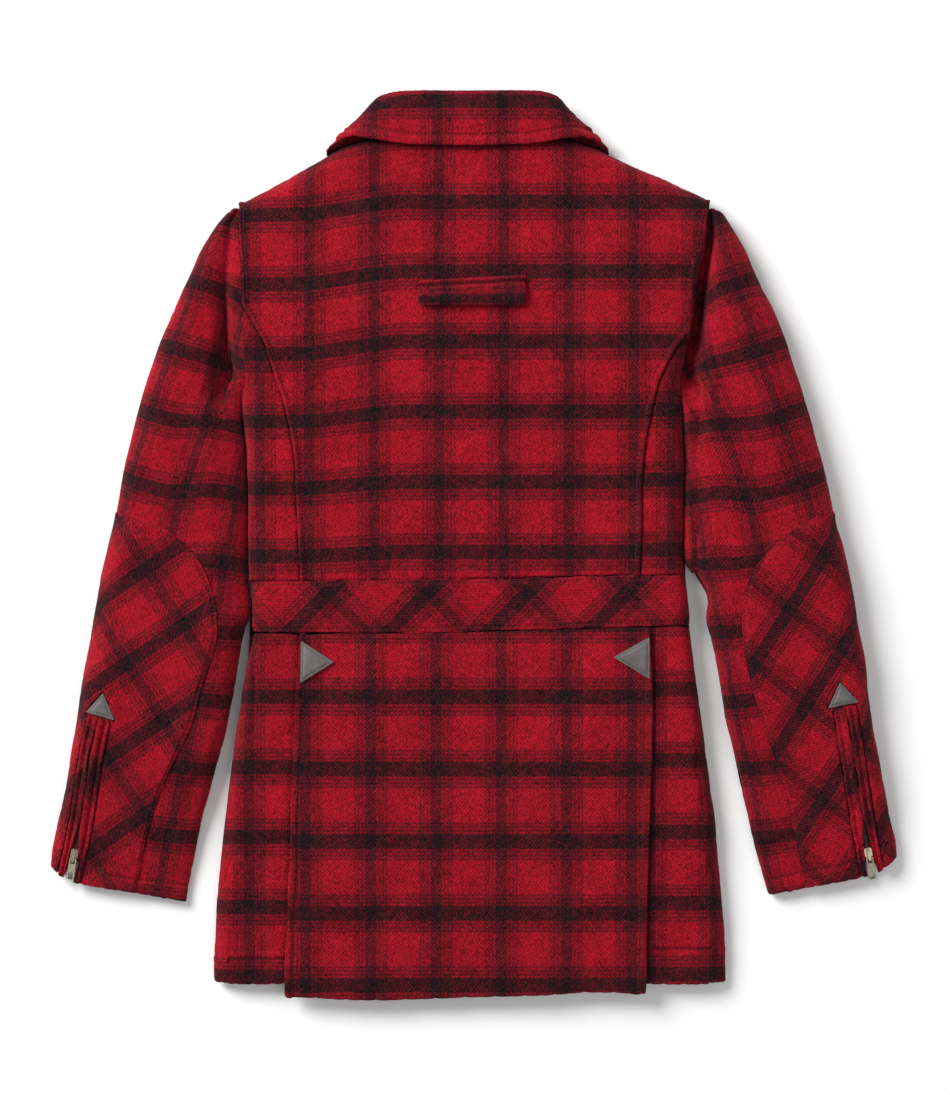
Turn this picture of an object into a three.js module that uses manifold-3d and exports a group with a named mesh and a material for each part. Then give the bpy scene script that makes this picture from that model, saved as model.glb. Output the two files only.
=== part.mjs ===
// A hip-length wool coat lying flat on its fronts with its back up, as the pieces that are cut and sewn.
// Millimetres. +X points to the coat's right sleeve, +Y to its collar and +Z up. Left and right are the wearer's.
// The origin is on the surface it lies on, below the middle of its outline.

import * as THREE from "three";
import { mergeVertices } from "three/addons/utils/BufferGeometryUtils.js";
import Module from "manifold-3d";

const wasm = await Module();
wasm.setup();

// Cloth and seams
const WALL = 3; // brushed wool
const GAP = 0.3; // between two pieces at a seam
const RIM_GAP = 0.4; // half of the same between the rounded edges of an upper and an under piece
const ARMHOLE_GAP = 0.9; // between sleeve and body at the armhole
const LAID_GAP = 0.4; // under what lies on a panel
const PATCH = 2.4; // elbow patch
const LEATHER = 1.4; // triangles
const SIDE_ROUND = 13; // how far in from its side the body reaches its full height
const SHOULDER_ROUND = 15; // the same below the shoulder line
const FRONT_ROUND = 11; // the same where the fronts curl up from the surface
const SEAM_AT = 0.42; // side seams lie at this share of the height
const ARCH = 2; // how much higher the back stands along its middle
const CENTRE = -6; // middle of the neck
const NECK = 80; // half of the neck's width

// The body from the shoulder points to the hem: its sides, how far in from them the armhole seams lie,
// and how high the back stands. Below the armpits there is no armhole.
const SHOULDER = 320;
const ARMPIT = 132;
const HEM = -408;
const BODY = [
  { y: SHOULDER, left: 229, right: 222, foldLeft: 10, foldRight: 3, loft: 25 },
  { y: 300, left: 233, right: 219.3, foldLeft: 14, foldRight: 3, loft: 27 },
  { y: 270, left: 232, right: 213.3, foldLeft: 15, foldRight: 3, loft: 30 },
  { y: 241, left: 232.3, right: 207.5, foldLeft: 17, foldRight: 3, loft: 32 },
  { y: 210, left: 230.5, right: 204.8, foldLeft: 16, foldRight: 3, loft: 34 },
  { y: 190, left: 226, right: 200.3, foldLeft: 13, foldRight: 3, loft: 34 },
  { y: 164, left: 221.3, right: 196.8, foldLeft: 8, foldRight: 3, loft: 34 },
  { y: ARMPIT, left: 215.9, right: 196.2, foldLeft: 0, foldRight: 0, loft: 34 },
  { y: 90, left: 213, right: 196, foldLeft: 0, foldRight: 0, loft: 33 },
  { y: 44, left: 211.2, right: 196, foldLeft: 0, foldRight: 0, loft: 32 },
  { y: -12, left: 210.2, right: 195.5, foldLeft: 0, foldRight: 0, loft: 31 },
  { y: -49, left: 208.3, right: 198, foldLeft: 0, foldRight: 0, loft: 30 },
  { y: -77, left: 205.5, right: 201, foldLeft: 0, foldRight: 0, loft: 29 },
  { y: -105, left: 211, right: 204.5, foldLeft: 0, foldRight: 0, loft: 28 },
  { y: -161, left: 220.5, right: 212, foldLeft: 0, foldRight: 0, loft: 27 },
  { y: -217, left: 229, right: 220.5, foldLeft: 0, foldRight: 0, loft: 25 },
  { y: -272, left: 235, right: 227, foldLeft: 0, foldRight: 0, loft: 23 },
  { y: -328, left: 240, right: 231, foldLeft: 0, foldRight: 0, loft: 21 },
  { y: -384, left: 243.3, right: 236, foldLeft: 0, foldRight: 0, loft: 18 },
  { y: HEM, left: 243.5, right: 235.5, foldLeft: 0, foldRight: 0, loft: 16 },
];

// The body's top edge: shoulder line, neck points and the neck of the back and of the fronts
const TOP_EDGE = [
  { x: -229, back: 313.4, front: 313.4 },
  { x: -205, back: 327.4, front: 327.4 },
  { x: -178, back: 341.3, front: 341.3 },
  { x: -152, back: 356, front: 356 },
  { x: -130, back: 369, front: 369 },
  { x: -86, back: 387, front: 387 },
  { x: -66, back: 385.5, front: 360 },
  { x: -36, back: 383.5, front: 330 },
  { x: CENTRE, back: 383, front: 318 },
  { x: 24, back: 383.5, front: 330 },
  { x: 54, back: 385.5, front: 360 },
  { x: 74, back: 387, front: 387 },
  { x: 118, back: 370, front: 370 },
  { x: 147, back: 355.3, front: 355.3 },
  { x: 182, back: 341.3, front: 341.3 },
  { x: 211, back: 327.4, front: 327.4 },
  { x: 222, back: 320, front: 320 },
];

// The curved seams of the back, from the armhole to the waistband
const BACK_SEAMS = {
  left: [
    { out: 214.8, y: 225 },
    { out: 209.3, y: 214 },
    { out: 194.4, y: 188 },
    { out: 186, y: 160 },
    { out: 177.6, y: 136 },
    { out: 172, y: 113.5 },
    { out: 166.5, y: 79 },
    { out: 164.6, y: 25 },
    { out: 161.8, y: -31 },
  ],
  right: [
    { out: 198.5, y: 198 },
    { out: 186, y: 182 },
    { out: 172, y: 153.5 },
    { out: 165.5, y: 127 },
    { out: 160, y: 99.5 },
    { out: 156.2, y: 58.6 },
    { out: 156.2, y: 25 },
    { out: 154.4, y: -31 },
  ],
};

// Waistband, a little lower on the left
const WAIST = [
  { x: -245, top: -32, bottom: -78.5 },
  { x: -95, top: -31, bottom: -80 },
  { x: 34, top: -29, bottom: -77.5 },
  { x: 245, top: -25, bottom: -71.5 },
];

// Centre back skirt, over the side skirts, which run on under it
const UNDERLAP = 45;
const SKIRT_RISE = 30; // over this length below the waistband the centre panel comes up over the side skirts
const SKIRT = [
  { y: -82, left: 161.8, right: 163.7 },
  { y: -128, left: 163.7, right: 164.6 },
  { y: -186, left: 166.5, right: 164.2 },
  { y: -253, left: 169.3, right: 162.3 },
  { y: -300, left: 169.3, right: 160.4 },
  { y: -350, left: 173, right: 159.3 },
  { y: -416, left: 174.8, right: 158.1 },
];
const SKIRT_HEM = [
  { x: -175, y: -418.5 },
  { x: -98, y: -422.5 },
  { x: 0, y: -419.4 },
  { x: 70, y: -417.6 },
  { x: 114, y: -414.5 },
  { x: 160, y: -417.6 },
];

// Each sleeve as sections from the shoulder point to the cuff. A section runs from its inner end, which is the
// armhole seam down to the armpit, to its outer end. From the seam the cloth falls over `strip` to a valley that
// lies `dip` below the height of the sleeve's own seams, then rises over `flank` to `crown`, and falls again over
// the last `round`.
const SLEEVES = {
  left: [
    { innerY: 317, innerOut: 219, outerOut: 227.9, outerY: 313.4, strip: 1, valley: 1, dip: -8, flank: 3, crown: 24, round: 6 },
    { innerY: 302, innerOut: 219, outerOut: 242.7, outerY: 296.7, strip: 6, valley: 2, dip: -11, flank: 8, crown: 28, round: 12 },
    { innerY: 281, innerOut: 218, outerOut: 254.8, outerY: 276.2, strip: 8, valley: 3, dip: -11, flank: 12, crown: 31, round: 16 },
    { innerY: 253, innerOut: 216, outerOut: 267.8, outerY: 247.4, strip: 12, valley: 4, dip: -9, flank: 20, crown: 33, round: 20 },
    { innerY: 225, innerOut: 215, outerOut: 279.9, outerY: 221.3, strip: 14, valley: 4, dip: -3, flank: 30, crown: 34, round: 22 },
    { innerY: 192, innerOut: 214, outerOut: 293.9, outerY: 186.9, strip: 13, valley: 4, dip: 4, flank: 38, crown: 35, round: 24 },
    { innerY: 163, innerOut: 213, outerOut: 305, outerY: 153.5, strip: 8, valley: 4, dip: 7, flank: 42, crown: 36, round: 25 },
    { innerY: ARMPIT, innerOut: 217, outerOut: 315.3, outerY: 118.1, strip: 0, valley: 0, dip: 0, flank: 42, crown: 36, round: 25 },
    { innerY: 90, innerOut: 214, outerOut: 326, outerY: 73.5, strip: 0, valley: 0, dip: 0, flank: 40, crown: 36, round: 24 },
    { innerY: 44, innerOut: 212, outerOut: 335, outerY: 23.2, strip: 0, valley: 0, dip: 0, flank: 38, crown: 35, round: 22 },
    { innerY: -12, innerOut: 211, outerOut: 346.9, outerY: -35.3, strip: 0, valley: 0, dip: 0, flank: 36, crown: 34, round: 20 },
    { innerY: -60.5, innerOut: 209.5, outerOut: 355.4, outerY: -86.5, strip: 0, valley: 0, dip: 0, flank: 32, crown: 33, round: 19 },
    { innerY: -91, innerOut: 217, outerOut: 361.6, outerY: -123.7, strip: 0, valley: 0, dip: 0, flank: 28, crown: 32, round: 17 },
    { innerY: -133, innerOut: 223, outerOut: 366.2, outerY: -147.9, strip: 0, valley: 0, dip: 0, flank: 26, crown: 30, round: 15 },
    { innerY: -189, innerOut: 236, outerOut: 374.2, outerY: -205.5, strip: 0, valley: 0, dip: 0, flank: 24, crown: 27, round: 13 },
    { innerY: -244.6, innerOut: 252, outerOut: 382, outerY: -244.6, strip: 0, valley: 0, dip: 0, flank: 22, crown: 20.5, round: 11 },
    { innerY: -300.4, innerOut: 263, outerOut: 391.6, outerY: -284, strip: 0, valley: 0, dip: 0, flank: 18, crown: 14.5, round: 9 },
    { innerY: -332.9, innerOut: 269.7, outerOut: 393.5, outerY: -302, strip: 0, valley: 0, dip: 0, flank: 15, crown: 11.5, round: 8 },
  ],
  right: [
    { innerY: 317, innerOut: 219, outerOut: 229.6, outerY: 313.4, strip: 1, valley: 1, dip: -8, flank: 3, crown: 24, round: 6 },
    { innerY: 302, innerOut: 217, outerOut: 242.7, outerY: 293.9, strip: 3, valley: 3, dip: 0, flank: 8, crown: 28, round: 12 },
    { innerY: 281, innerOut: 213, outerOut: 254.8, outerY: 271.6, strip: 3, valley: 5, dip: 5, flank: 10, crown: 31, round: 16 },
    { innerY: 253, innerOut: 207, outerOut: 269.7, outerY: 239, strip: 3, valley: 6, dip: 6.5, flank: 12, crown: 33, round: 20 },
    { innerY: 225, innerOut: 203, outerOut: 279.9, outerY: 217.6, strip: 3, valley: 6, dip: 7, flank: 14, crown: 34, round: 22 },
    { innerY: 192, innerOut: 198, outerOut: 293.9, outerY: 183.2, strip: 3, valley: 8, dip: 7.5, flank: 16, crown: 35, round: 24 },
    { innerY: 163, innerOut: 194, outerOut: 303.2, outerY: 153.5, strip: 3, valley: 7, dip: 8, flank: 20, crown: 36, round: 25 },
    { innerY: ARMPIT, innerOut: 197.4, outerOut: 313.4, outerY: 118.1, strip: 0, valley: 0, dip: 0, flank: 26, crown: 36, round: 25 },
    { innerY: 90, innerOut: 197, outerOut: 327.4, outerY: 71.6, strip: 0, valley: 0, dip: 0, flank: 26, crown: 36, round: 24 },
    { innerY: 44, innerOut: 197, outerOut: 337.7, outerY: 17.7, strip: 0, valley: 0, dip: 0, flank: 26, crown: 35, round: 22 },
    { innerY: -12, innerOut: 196.5, outerOut: 349.8, outerY: -40, strip: 0, valley: 0, dip: 0, flank: 24, crown: 34, round: 20 },
    { innerY: -46, innerOut: 218.6, outerOut: 360, outerY: -95.8, strip: 0, valley: 0, dip: 0, flank: 22, crown: 33, round: 18 },
    { innerY: -68, innerOut: 216.7, outerOut: 364.7, outerY: -133, strip: 0, valley: 0, dip: 0, flank: 22, crown: 31, round: 16 },
    { innerY: -100, innerOut: 224.1, outerOut: 370.2, outerY: -170.2, strip: 0, valley: 0, dip: 0, flank: 22, crown: 29, round: 14 },
    { innerY: -161, innerOut: 236.2, outerOut: 377.7, outerY: -216.7, strip: 0, valley: 0, dip: 0, flank: 20, crown: 26, round: 12 },
    { innerY: -226, innerOut: 249.2, outerOut: 384.2, outerY: -249.2, strip: 0, valley: 0, dip: 0, flank: 18, crown: 20, round: 11 },
    { innerY: -272.5, innerOut: 260.4, outerOut: 391, outerY: -278, strip: 0, valley: 0, dip: 0, flank: 16, crown: 14.5, round: 9 },
    { innerY: -327.4, innerOut: 276.2, outerOut: 393.5, outerY: -293, strip: 0, valley: 0, dip: 0, flank: 14, crown: 11.5, round: 8 },
  ],
};
const UNDER_ROUND = 9; // how far in from its edges the under sleeve reaches the surface
const BODY_CLEAR = 1.6; // between the sleeve and the body's side below the armpit

// How far the cuff's edge runs past the straight line of the last section, from its inner to its outer end
const CUFF_EDGE = [
  { share: 0, past: 0 },
  { share: 0.25, past: 1 },
  { share: 0.5, past: 3.5 },
  { share: 0.75, past: 6.5 },
  { share: 0.9, past: 5 },
  { share: 1, past: -2 },
];
const CUFF_FROM = 0.93; // share of the sleeve's length where that begins

// Inner edge of each elbow patch, which reaches the outline at its top and the cuff at its bottom
const PATCH_EDGES = {
  left: [
    { out: 345, y: 36 },
    { out: 332, y: 31.6 },
    { out: 290, y: 18.6 },
    { out: 257.6, y: -9.3 },
    { out: 241.8, y: -43.7 },
    { out: 238.1, y: -78 },
    { out: 241.8, y: -97 },
    { out: 253, y: -130 },
    { out: 263.2, y: -167 },
    { out: 290.2, y: -226 },
    { out: 303.2, y: -266 },
    { out: 319, y: -345 },
  ],
  right: [
    { out: 348, y: 38 },
    { out: 335.7, y: 34.4 },
    { out: 304, y: 21.4 },
    { out: 274.4, y: -2.8 },
    { out: 256.7, y: -26 },
    { out: 249.2, y: -57.7 },
    { out: 250.2, y: -92 },
    { out: 256.7, y: -124.6 },
    { out: 268.8, y: -164.6 },
    { out: 292.9, y: -244.6 },
    { out: 304.1, y: -293 },
    { out: 311, y: -335 },
  ],
};

// Cuff zips: the line of the teeth from the leather triangle to past the cuff
const ZIPS = {
  left: [
    { out: 347.8, y: -158 },
    { out: 353.4, y: -182.3 },
    { out: 360.8, y: -226 },
    { out: 365.2, y: -254 },
    { out: 370.4, y: -279 },
    { out: 373.4, y: -291 },
    { out: 382, y: -328 },
  ],
  right: [
    { out: 343.8, y: -148 },
    { out: 352.5, y: -200 },
    { out: 359.8, y: -244.6 },
    { out: 367.6, y: -286.2 },
    { out: 376, y: -322 },
  ],
};
const CHAIN = { halfWidth: 1.7, height: 1.6 };
const WELT = { height: 3.4, edge: 11.2 }; // its outer edge is so far from the line of the teeth
const WELT_GAP = { narrow: 2, wide: 4.4, from: 0.63, to: 0.69 }; // half the gap, wider at the slider
const SLIDER_AT = { left: -287, right: -286 }; // y of the slider's middle
const SLIDER = { width: 7, length: 12, plate: 2.4, bridge: 2.2, legs: 1.6, clear: 2.4, top: 1 };
const PULL = { width: 6.8, length: 29, thick: 1.2, bar: 1.3, rail: 1.3, loop: 6.5, window: 8, corner: 1.4 };
const PULL_REST = 1.1; // height of the middle of the pull's tip, which rests on the surface
const NOTCH = 4.8; // half the width of the slit in the cuff below the slider

// Leather triangles
const TRIANGLES = {
  skirt_triangle_left: [
    { x: -160.5, y: -87 },
    { x: -130, y: -107 },
    { x: -161.5, y: -126.5 },
  ],
  skirt_triangle_right: [
    { x: 163, y: -83.5 },
    { x: 129.3, y: -102.3 },
    { x: 163.2, y: -122.8 },
  ],
  sleeve_triangle_left: [
    { x: -344.1, y: -135.5 },
    { x: -360.5, y: -153.5 },
    { x: -333.5, y: -161 },
  ],
  sleeve_triangle_right: [
    { x: 339.5, y: -125.6 },
    { x: 328.8, y: -149.7 },
    { x: 357.5, y: -144.2 },
  ],
};

// Cloth tab across the back
const TAB = { left: -51.5, right: 47.5, top: 249.5, bottom: 223.5, lean: 0.055, height: 5 };

// Collar: half of its sections, from the middle of the back (turn 90) round the neck to the middle of the fronts.
// `seam` is where the stand meets the body, `fold` the top of the roll, and `edge` the fall's free edge.
const COLLAR_ROLL = 5.6; // radius of the roll
const COLLAR = [
  { turn: 90, seamOut: 0, seamY: 383.6, seamZ: 26, foldOut: 0, foldY: 419.4, foldZ: 28.5, edgeOut: 0, edgeY: 373, edgeZ: 32 },
  { turn: 62, seamOut: 42, seamY: 384.6, seamZ: 24, foldOut: 45, foldY: 419.8, foldZ: 27.5, edgeOut: 62, edgeY: 374.5, edgeZ: 32 },
  { turn: 35, seamOut: 66, seamY: 387, seamZ: 19, foldOut: 71, foldY: 419.2, foldZ: 23.5, edgeOut: 106, edgeY: 381.5, edgeZ: 30.5 },
  { turn: 14, seamOut: 77, seamY: 389, seamZ: 14, foldOut: 82, foldY: 415.5, foldZ: 18, edgeOut: 126, edgeY: 375, edgeZ: 21 },
  { turn: -6, seamOut: 78, seamY: 388, seamZ: 10, foldOut: 85, foldY: 408, foldZ: 13, edgeOut: 134, edgeY: 369, edgeZ: 10 },
  { turn: -20, seamOut: 75, seamY: 382, seamZ: 8.4, foldOut: 83, foldY: 401, foldZ: 9.5, edgeOut: 131, edgeY: 361, edgeZ: 1.2 },
  { turn: -34, seamOut: 70, seamY: 371, seamZ: 7.4, foldOut: 76, foldY: 391, foldZ: 7.6, edgeOut: 119, edgeY: 342, edgeZ: 0.1 },
  { turn: -60, seamOut: 46, seamY: 346, seamZ: 6.6, foldOut: 51, foldY: 371, foldZ: 6, edgeOut: 78, edgeY: 306, edgeZ: 0 },
  { turn: -89, seamOut: 1, seamY: 322, seamZ: 6.4, foldOut: 1, foldY: 352, foldZ: 5.6, edgeOut: 1, edgeY: 284, edgeZ: 0 },
];
const COLLAR_LIFT = 3.7; // how high the fronts lie where the collar is between them and the surface

// Colours, from the photo
const WOOL = { color: "#8f1526", roughness: 0.95, metalness: 0 };
const BIAS_WOOL = { color: "#7a1322", roughness: 0.95, metalness: 0 };
const HIDE = { color: "#66605c", roughness: 0.8, metalness: 0 };
const METAL = { color: "#8a8474", roughness: 0.35, metalness: 0.9 };

const lerp = (a, b, share) => a + (b - a) * share;
const clamp = (value, low, high) => Math.min(high, Math.max(low, value));
const smooth = (share) => {
  const s = clamp(share, 0, 1);
  return s * s * (3 - 2 * s);
};
const range = (count) => Array.from({ length: count + 1 }, (_, i) => i / count);

// The height of a rounded edge: `low` at its rim, `high` once `share` reaches 1.
const rise = (low, high, share) => {
  const s = 1 - clamp(share, 0, 1);
  return low + (high - low) * Math.sqrt(1 - s * s);
};

// One column of a table where another column has the value `at`, on a smooth curve through the rows.
function along(rows, by, column, at) {
  const last = rows.length - 1;
  const descending = rows[0][by] > rows[last][by];
  const before = (i) => (descending ? rows[i][by] >= at : rows[i][by] <= at);
  if (!before(0)) return rows[0][column];
  if (before(last)) return rows[last][column];
  let i = 0;
  while (before(i + 1)) i += 1;
  const slope = (k) => {
    const a = rows[Math.max(k - 1, 0)];
    const b = rows[Math.min(k + 1, last)];
    return (b[column] - a[column]) / (b[by] - a[by]);
  };
  const span = rows[i + 1][by] - rows[i][by];
  const t = (at - rows[i][by]) / span;
  const bend = t * t * (3 - 2 * t);
  return (
    lerp(rows[i][column], rows[i + 1][column], bend) +
    span * (t * (1 - t) ** 2 * slope(i) - t * t * (1 - t) * slope(i + 1))
  );
}

// A whole row of a table, `share` of the way from its first row to its last.
function rowAt(rows, share) {
  const numbered = rows.map((row, number) => ({ ...row, number }));
  const at = clamp(share, 0, 1) * (rows.length - 1);
  const names = Object.keys(rows[0]);
  return Object.fromEntries(names.map((name) => [name, along(numbered, "number", name, at)]));
}

// The point a share of the way along a line of points.
function atShare(points, share) {
  const lengths = [0];
  points.slice(1).forEach((p, i) => lengths.push(lengths[i] + p.distanceTo(points[i])));
  const at = clamp(share, 0, 1) * lengths.at(-1);
  let i = 1;
  while (i < points.length - 1 && lengths[i] < at) i += 1;
  const span = lengths[i] - lengths[i - 1];
  return points[i - 1].clone().lerp(points[i], span ? (at - lengths[i - 1]) / span : 0);
}

// Solids

function solidFrom(positions, triangles) {
  const make = (faces) =>
    new wasm.Manifold(
      new wasm.Mesh({
        numProp: 3,
        vertProperties: new Float32Array(positions),
        triVerts: new Uint32Array(faces.flat()),
      }),
    );
  const made = make(triangles);
  return made.volume() > 0 ? made : make(triangles.map(([a, b, c]) => [a, c, b]));
}

function solidOf(geometry) {
  const bare = geometry.clone().deleteAttribute("normal").deleteAttribute("uv");
  const merged = mergeVertices(bare, 1e-4);
  const faces = [];
  for (let i = 0; i < merged.index.count; i += 3) faces.push([...merged.index.array.slice(i, i + 3)]);
  return solidFrom(merged.attributes.position.array, faces);
}

const STEP = 1e-3; // of a surface's width, for its normals

function normalOf(surface, u, v) {
  const across = surface(Math.min(u + STEP, 1), v).sub(surface(Math.max(u - STEP, 0), v));
  const down = surface(u, Math.min(v + STEP, 1)).sub(surface(u, Math.max(v - STEP, 0)));
  return across.cross(down).normalize();
}

// A closed wall between two offsets of a surface, `out` being +1 or -1 times the side that its normals point to.
function wall(surface, us, vs, inner, outer, out) {
  const positions = [];
  for (const offset of [outer, inner])
    for (const v of vs)
      for (const u of us) {
        const point = surface(u, v).addScaledVector(normalOf(surface, u, v), offset * out);
        positions.push(point.x, point.y, point.z);
      }
  const width = us.length;
  const layer = width * vs.length;
  const triangles = [];
  const quad = (a, b, c, d) => triangles.push([a, b, c], [a, c, d]);
  for (let i = 0; i + 1 < vs.length; i += 1)
    for (let j = 0; j + 1 < width; j += 1) {
      const a = i * width + j;
      quad(a, a + 1, a + width + 1, a + width);
      quad(layer + a, layer + a + width, layer + a + width + 1, layer + a + 1);
    }
  const rim = [];
  for (let j = 0; j + 1 < width; j += 1) rim.push(j);
  for (let i = 0; i + 1 < vs.length; i += 1) rim.push(i * width + width - 1);
  for (let j = width - 1; j > 0; j -= 1) rim.push((vs.length - 1) * width + j);
  for (let i = vs.length - 1; i > 0; i -= 1) rim.push(i * width);
  rim.forEach((a, k) => {
    const b = rim[(k + 1) % rim.length];
    quad(a, layer + a, layer + b, b);
  });
  return solidFrom(positions, triangles);
}

// An upright block over an outline, for cutting.
function curtain(outline) {
  const shape = new THREE.Shape(outline.map(({ x, y }) => new THREE.Vector2(x, y)));
  const low = -20;
  const high = 90;
  const block = new THREE.ExtrudeGeometry(shape, { depth: high - low, bevelEnabled: false });
  return solidOf(block.translate(0, 0, low));
}

// The outline of a strip along a line, between two offsets to its left, each a number or a function of the share.
function strip(line, from, to) {
  const offsetAt = (offset, share) => (typeof offset === "function" ? offset(share) : offset);
  const moved = (offset) =>
    line.map((p, i) => {
      const a = line[Math.max(i - 1, 0)];
      const b = line[Math.min(i + 1, line.length - 1)];
      const length = Math.hypot(b.x - a.x, b.y - a.y);
      const away = offsetAt(offset, i / (line.length - 1));
      return { x: p.x - ((b.y - a.y) / length) * away, y: p.y + ((b.x - a.x) / length) * away };
    });
  return [...moved(from), ...moved(to).reverse()];
}

const seamCut = (line) => curtain(strip(line, -GAP / 2, GAP / 2));

// Of the separate bodies in a solid, the one whose middle is nearest to a place.
function bodyNear(solid, x, y) {
  const far = (body) => {
    const { min, max } = body.boundingBox();
    return Math.hypot((min[0] + max[0]) / 2 - x, (min[1] + max[1]) / 2 - y);
  };
  return solid.decompose().sort((a, b) => far(a) - far(b))[0];
}

// The body

const sideOf = (x) => (x < CENTRE ? "left" : "right");
const signOf = (side) => (side === "left" ? -1 : 1);
const bodyOut = (side, y) => along(BODY, "y", side, y);
const foldIn = (side, y) =>
  Math.max(0, along(BODY, "y", side === "left" ? "foldLeft" : "foldRight", Math.max(y, ARMPIT)));
const loftAt = (x, y) => along(BODY, "y", "loft", y) + ARCH * (1 - (x / 240) ** 2);
const seamHeight = (y) => along(BODY, "y", "loft", y) * SEAM_AT;

// How far a place is below the top edge of the back or the fronts.
function belowTop(face, x, y) {
  const slope = (along(TOP_EDGE, "x", face, x + 1) - along(TOP_EDGE, "x", face, x - 1)) / 2;
  return (along(TOP_EDGE, "x", face, x) - y) / Math.hypot(1, slope);
}

// Where the neck's edge lies between the seam height at its sides and the full height at its middle.
const neckShare = (x) => Math.sqrt(Math.max(0, 1 - ((x - CENTRE) / NECK) ** 2));

function backHeight(x, y) {
  const side = sideOf(x);
  const high = loftAt(x, y);
  const seam = seamHeight(y) + RIM_GAP;
  const fromSide = rise(seam, high, (bodyOut(side, y) - Math.abs(x)) / SIDE_ROUND);
  const fromTop = rise(lerp(seam, high, neckShare(x)), high, belowTop("back", x, y) / SHOULDER_ROUND);
  return Math.min(fromSide, fromTop);
}

// The fronts lie on the surface, and on the collar's fronts near the neck.
function frontHeight(x, y) {
  const side = sideOf(x);
  const nearCollar = smooth((175 - Math.abs(x - CENTRE)) / 40) * smooth((y - 240) / 35);
  const low = COLLAR_LIFT * nearCollar;
  const seam = seamHeight(y) - RIM_GAP;
  const fromSide = rise(seam, low, (bodyOut(side, y) - Math.abs(x)) / FRONT_ROUND);
  const fromTop = rise(lerp(seam, low, neckShare(x)), low, belowTop("front", x, y) / FRONT_ROUND);
  return Math.max(fromSide, fromTop);
}

// Places along a rounded edge, and then on to `length`, as distances from its rim.
const ROUND_STEPS = 14;
function fromRim(start, round, length, steps) {
  const first = Math.acos(1 - clamp(start / round, 0, 1));
  const turns = range(ROUND_STEPS).map((s) => round * (1 - Math.cos(lerp(first, Math.PI / 2, s))));
  const flat = Math.max(start, round);
  const rest = range(steps).map((s) => lerp(flat, length, s));
  return [...turns.filter((d) => start < round && d < flat), ...rest];
}

// The body's levels from the shoulder points down. The back and the sleeves share those of the armhole.
const ARMHOLE_LEVELS = [302, 281, 253, 225, 192, 163, ARMPIT];
const TOP_TURNS = [0, 25, 50, 75].map((degrees) => 1 - Math.cos(THREE.MathUtils.degToRad(degrees)));
const BACK_LEVELS = [
  ...TOP_TURNS.map((turn) => SHOULDER - SHOULDER_ROUND * turn),
  ...ARMHOLE_LEVELS,
  ...[112, 90, 60, 30, 0, -25, -49, -77, -100, -130, -165, -205, -245, -290, -335, -375, HEM],
];
const FRONT_LEVELS = [
  ...TOP_TURNS.map((turn) => SHOULDER - FRONT_ROUND * turn),
  ...[309, 290, 268, 240, 205, 163, ARMPIT, 90, 30, -49, -105, -190, -290, -384, HEM],
];

// A level that follows the top edge at the shoulders and runs straight across further down.
const STRAIGHT_BELOW = 190;
function levelAt(levels, v) {
  const at = v * (levels.length - 1);
  const i = Math.min(Math.floor(at), levels.length - 2);
  return lerp(levels[i], levels[i + 1], at - i);
}

// One half of a level, from its armhole or side to `middle`, a distance from x = 0 to its own side.
function halfLevel(side, face, level, round, middle) {
  const height = face === "back" ? backHeight : frontHeight;
  const out = bodyOut(side, level);
  return fromRim(foldIn(side, level), round, out - middle, 16).map((d) => {
    const x = signOf(side) * (out - d);
    const lifted = along(TOP_EDGE, "x", face, x) - SHOULDER;
    const y = level + lifted * (1 - smooth((SHOULDER - level) / STRAIGHT_BELOW));
    return new THREE.Vector3(x, y, height(x, y));
  });
}

// The whole back, from the left armhole and side to the right ones.
function backPoint(u, v) {
  const level = levelAt(BACK_LEVELS, v);
  const halves = ["left", "right"].map((side) => halfLevel(side, "back", level, SIDE_ROUND, signOf(side) * CENTRE));
  return atShare([...halves[0], ...halves[1].reverse().slice(1)], u);
}

// One front, from its armhole and side to the middle.
const frontPoint = (side) => (u, v) => {
  const middle = signOf(side) * CENTRE + GAP / 2;
  return atShare(halfLevel(side, "front", levelAt(FRONT_LEVELS, v), FRONT_ROUND, middle), u);
};

const BACK_COLUMNS = [0, 0.012, 0.025, 0.04, 0.06, 0.1, 0.155, 0.22, 0.3, 0.4, 0.5];
const backUs = [...BACK_COLUMNS, ...BACK_COLUMNS.slice(0, -1).reverse().map((u) => 1 - u)];
const FRONT_COLUMNS = [0, 0.022, 0.045, 0.07, 0.11, 0.2, 0.32, 0.5, 0.68, 0.84, 1];

const backSolid = wall(backPoint, backUs, range(BACK_LEVELS.length - 1), -WALL, 0, -1);

const seamLine = (side) => {
  const sign = signOf(side);
  const rows = BACK_SEAMS[side];
  const first = { x: sign * (rows[0].out + 30), y: rows[0].y + 34 };
  const places = range(16).map((s) => lerp(rows[0].y, rows.at(-1).y - 4, s));
  return [first, ...places.map((y) => ({ x: sign * along(rows, "y", "out", y), y }))];
};
const waistLine = (edge, shift = 0) =>
  range(12).map((s) => {
    const x = lerp(-250, 250, s);
    return { x, y: along(WAIST, "x", edge, x) + shift };
  });

function bodyPanels() {
  const cuts = [seamCut(waistLine("top")), seamCut(waistLine("bottom"))];
  const parted = cuts.reduce((solid, cut) => solid.subtract(cut), backSolid);
  const bodice = bodyNear(parted, 0, 160);
  const sides = ["left", "right"].map((side) => seamCut(seamLine(side)));
  const panels = sides.reduce((solid, cut) => solid.subtract(cut), bodice);
  return {
    back_center: bodyNear(panels, 0, 170).subtract(underCollar),
    back_side_left: bodyNear(panels, -190, 90),
    back_side_right: bodyNear(panels, 180, 85),
    waistband_back: bodyNear(parted, 0, -53),
  };
}

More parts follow.
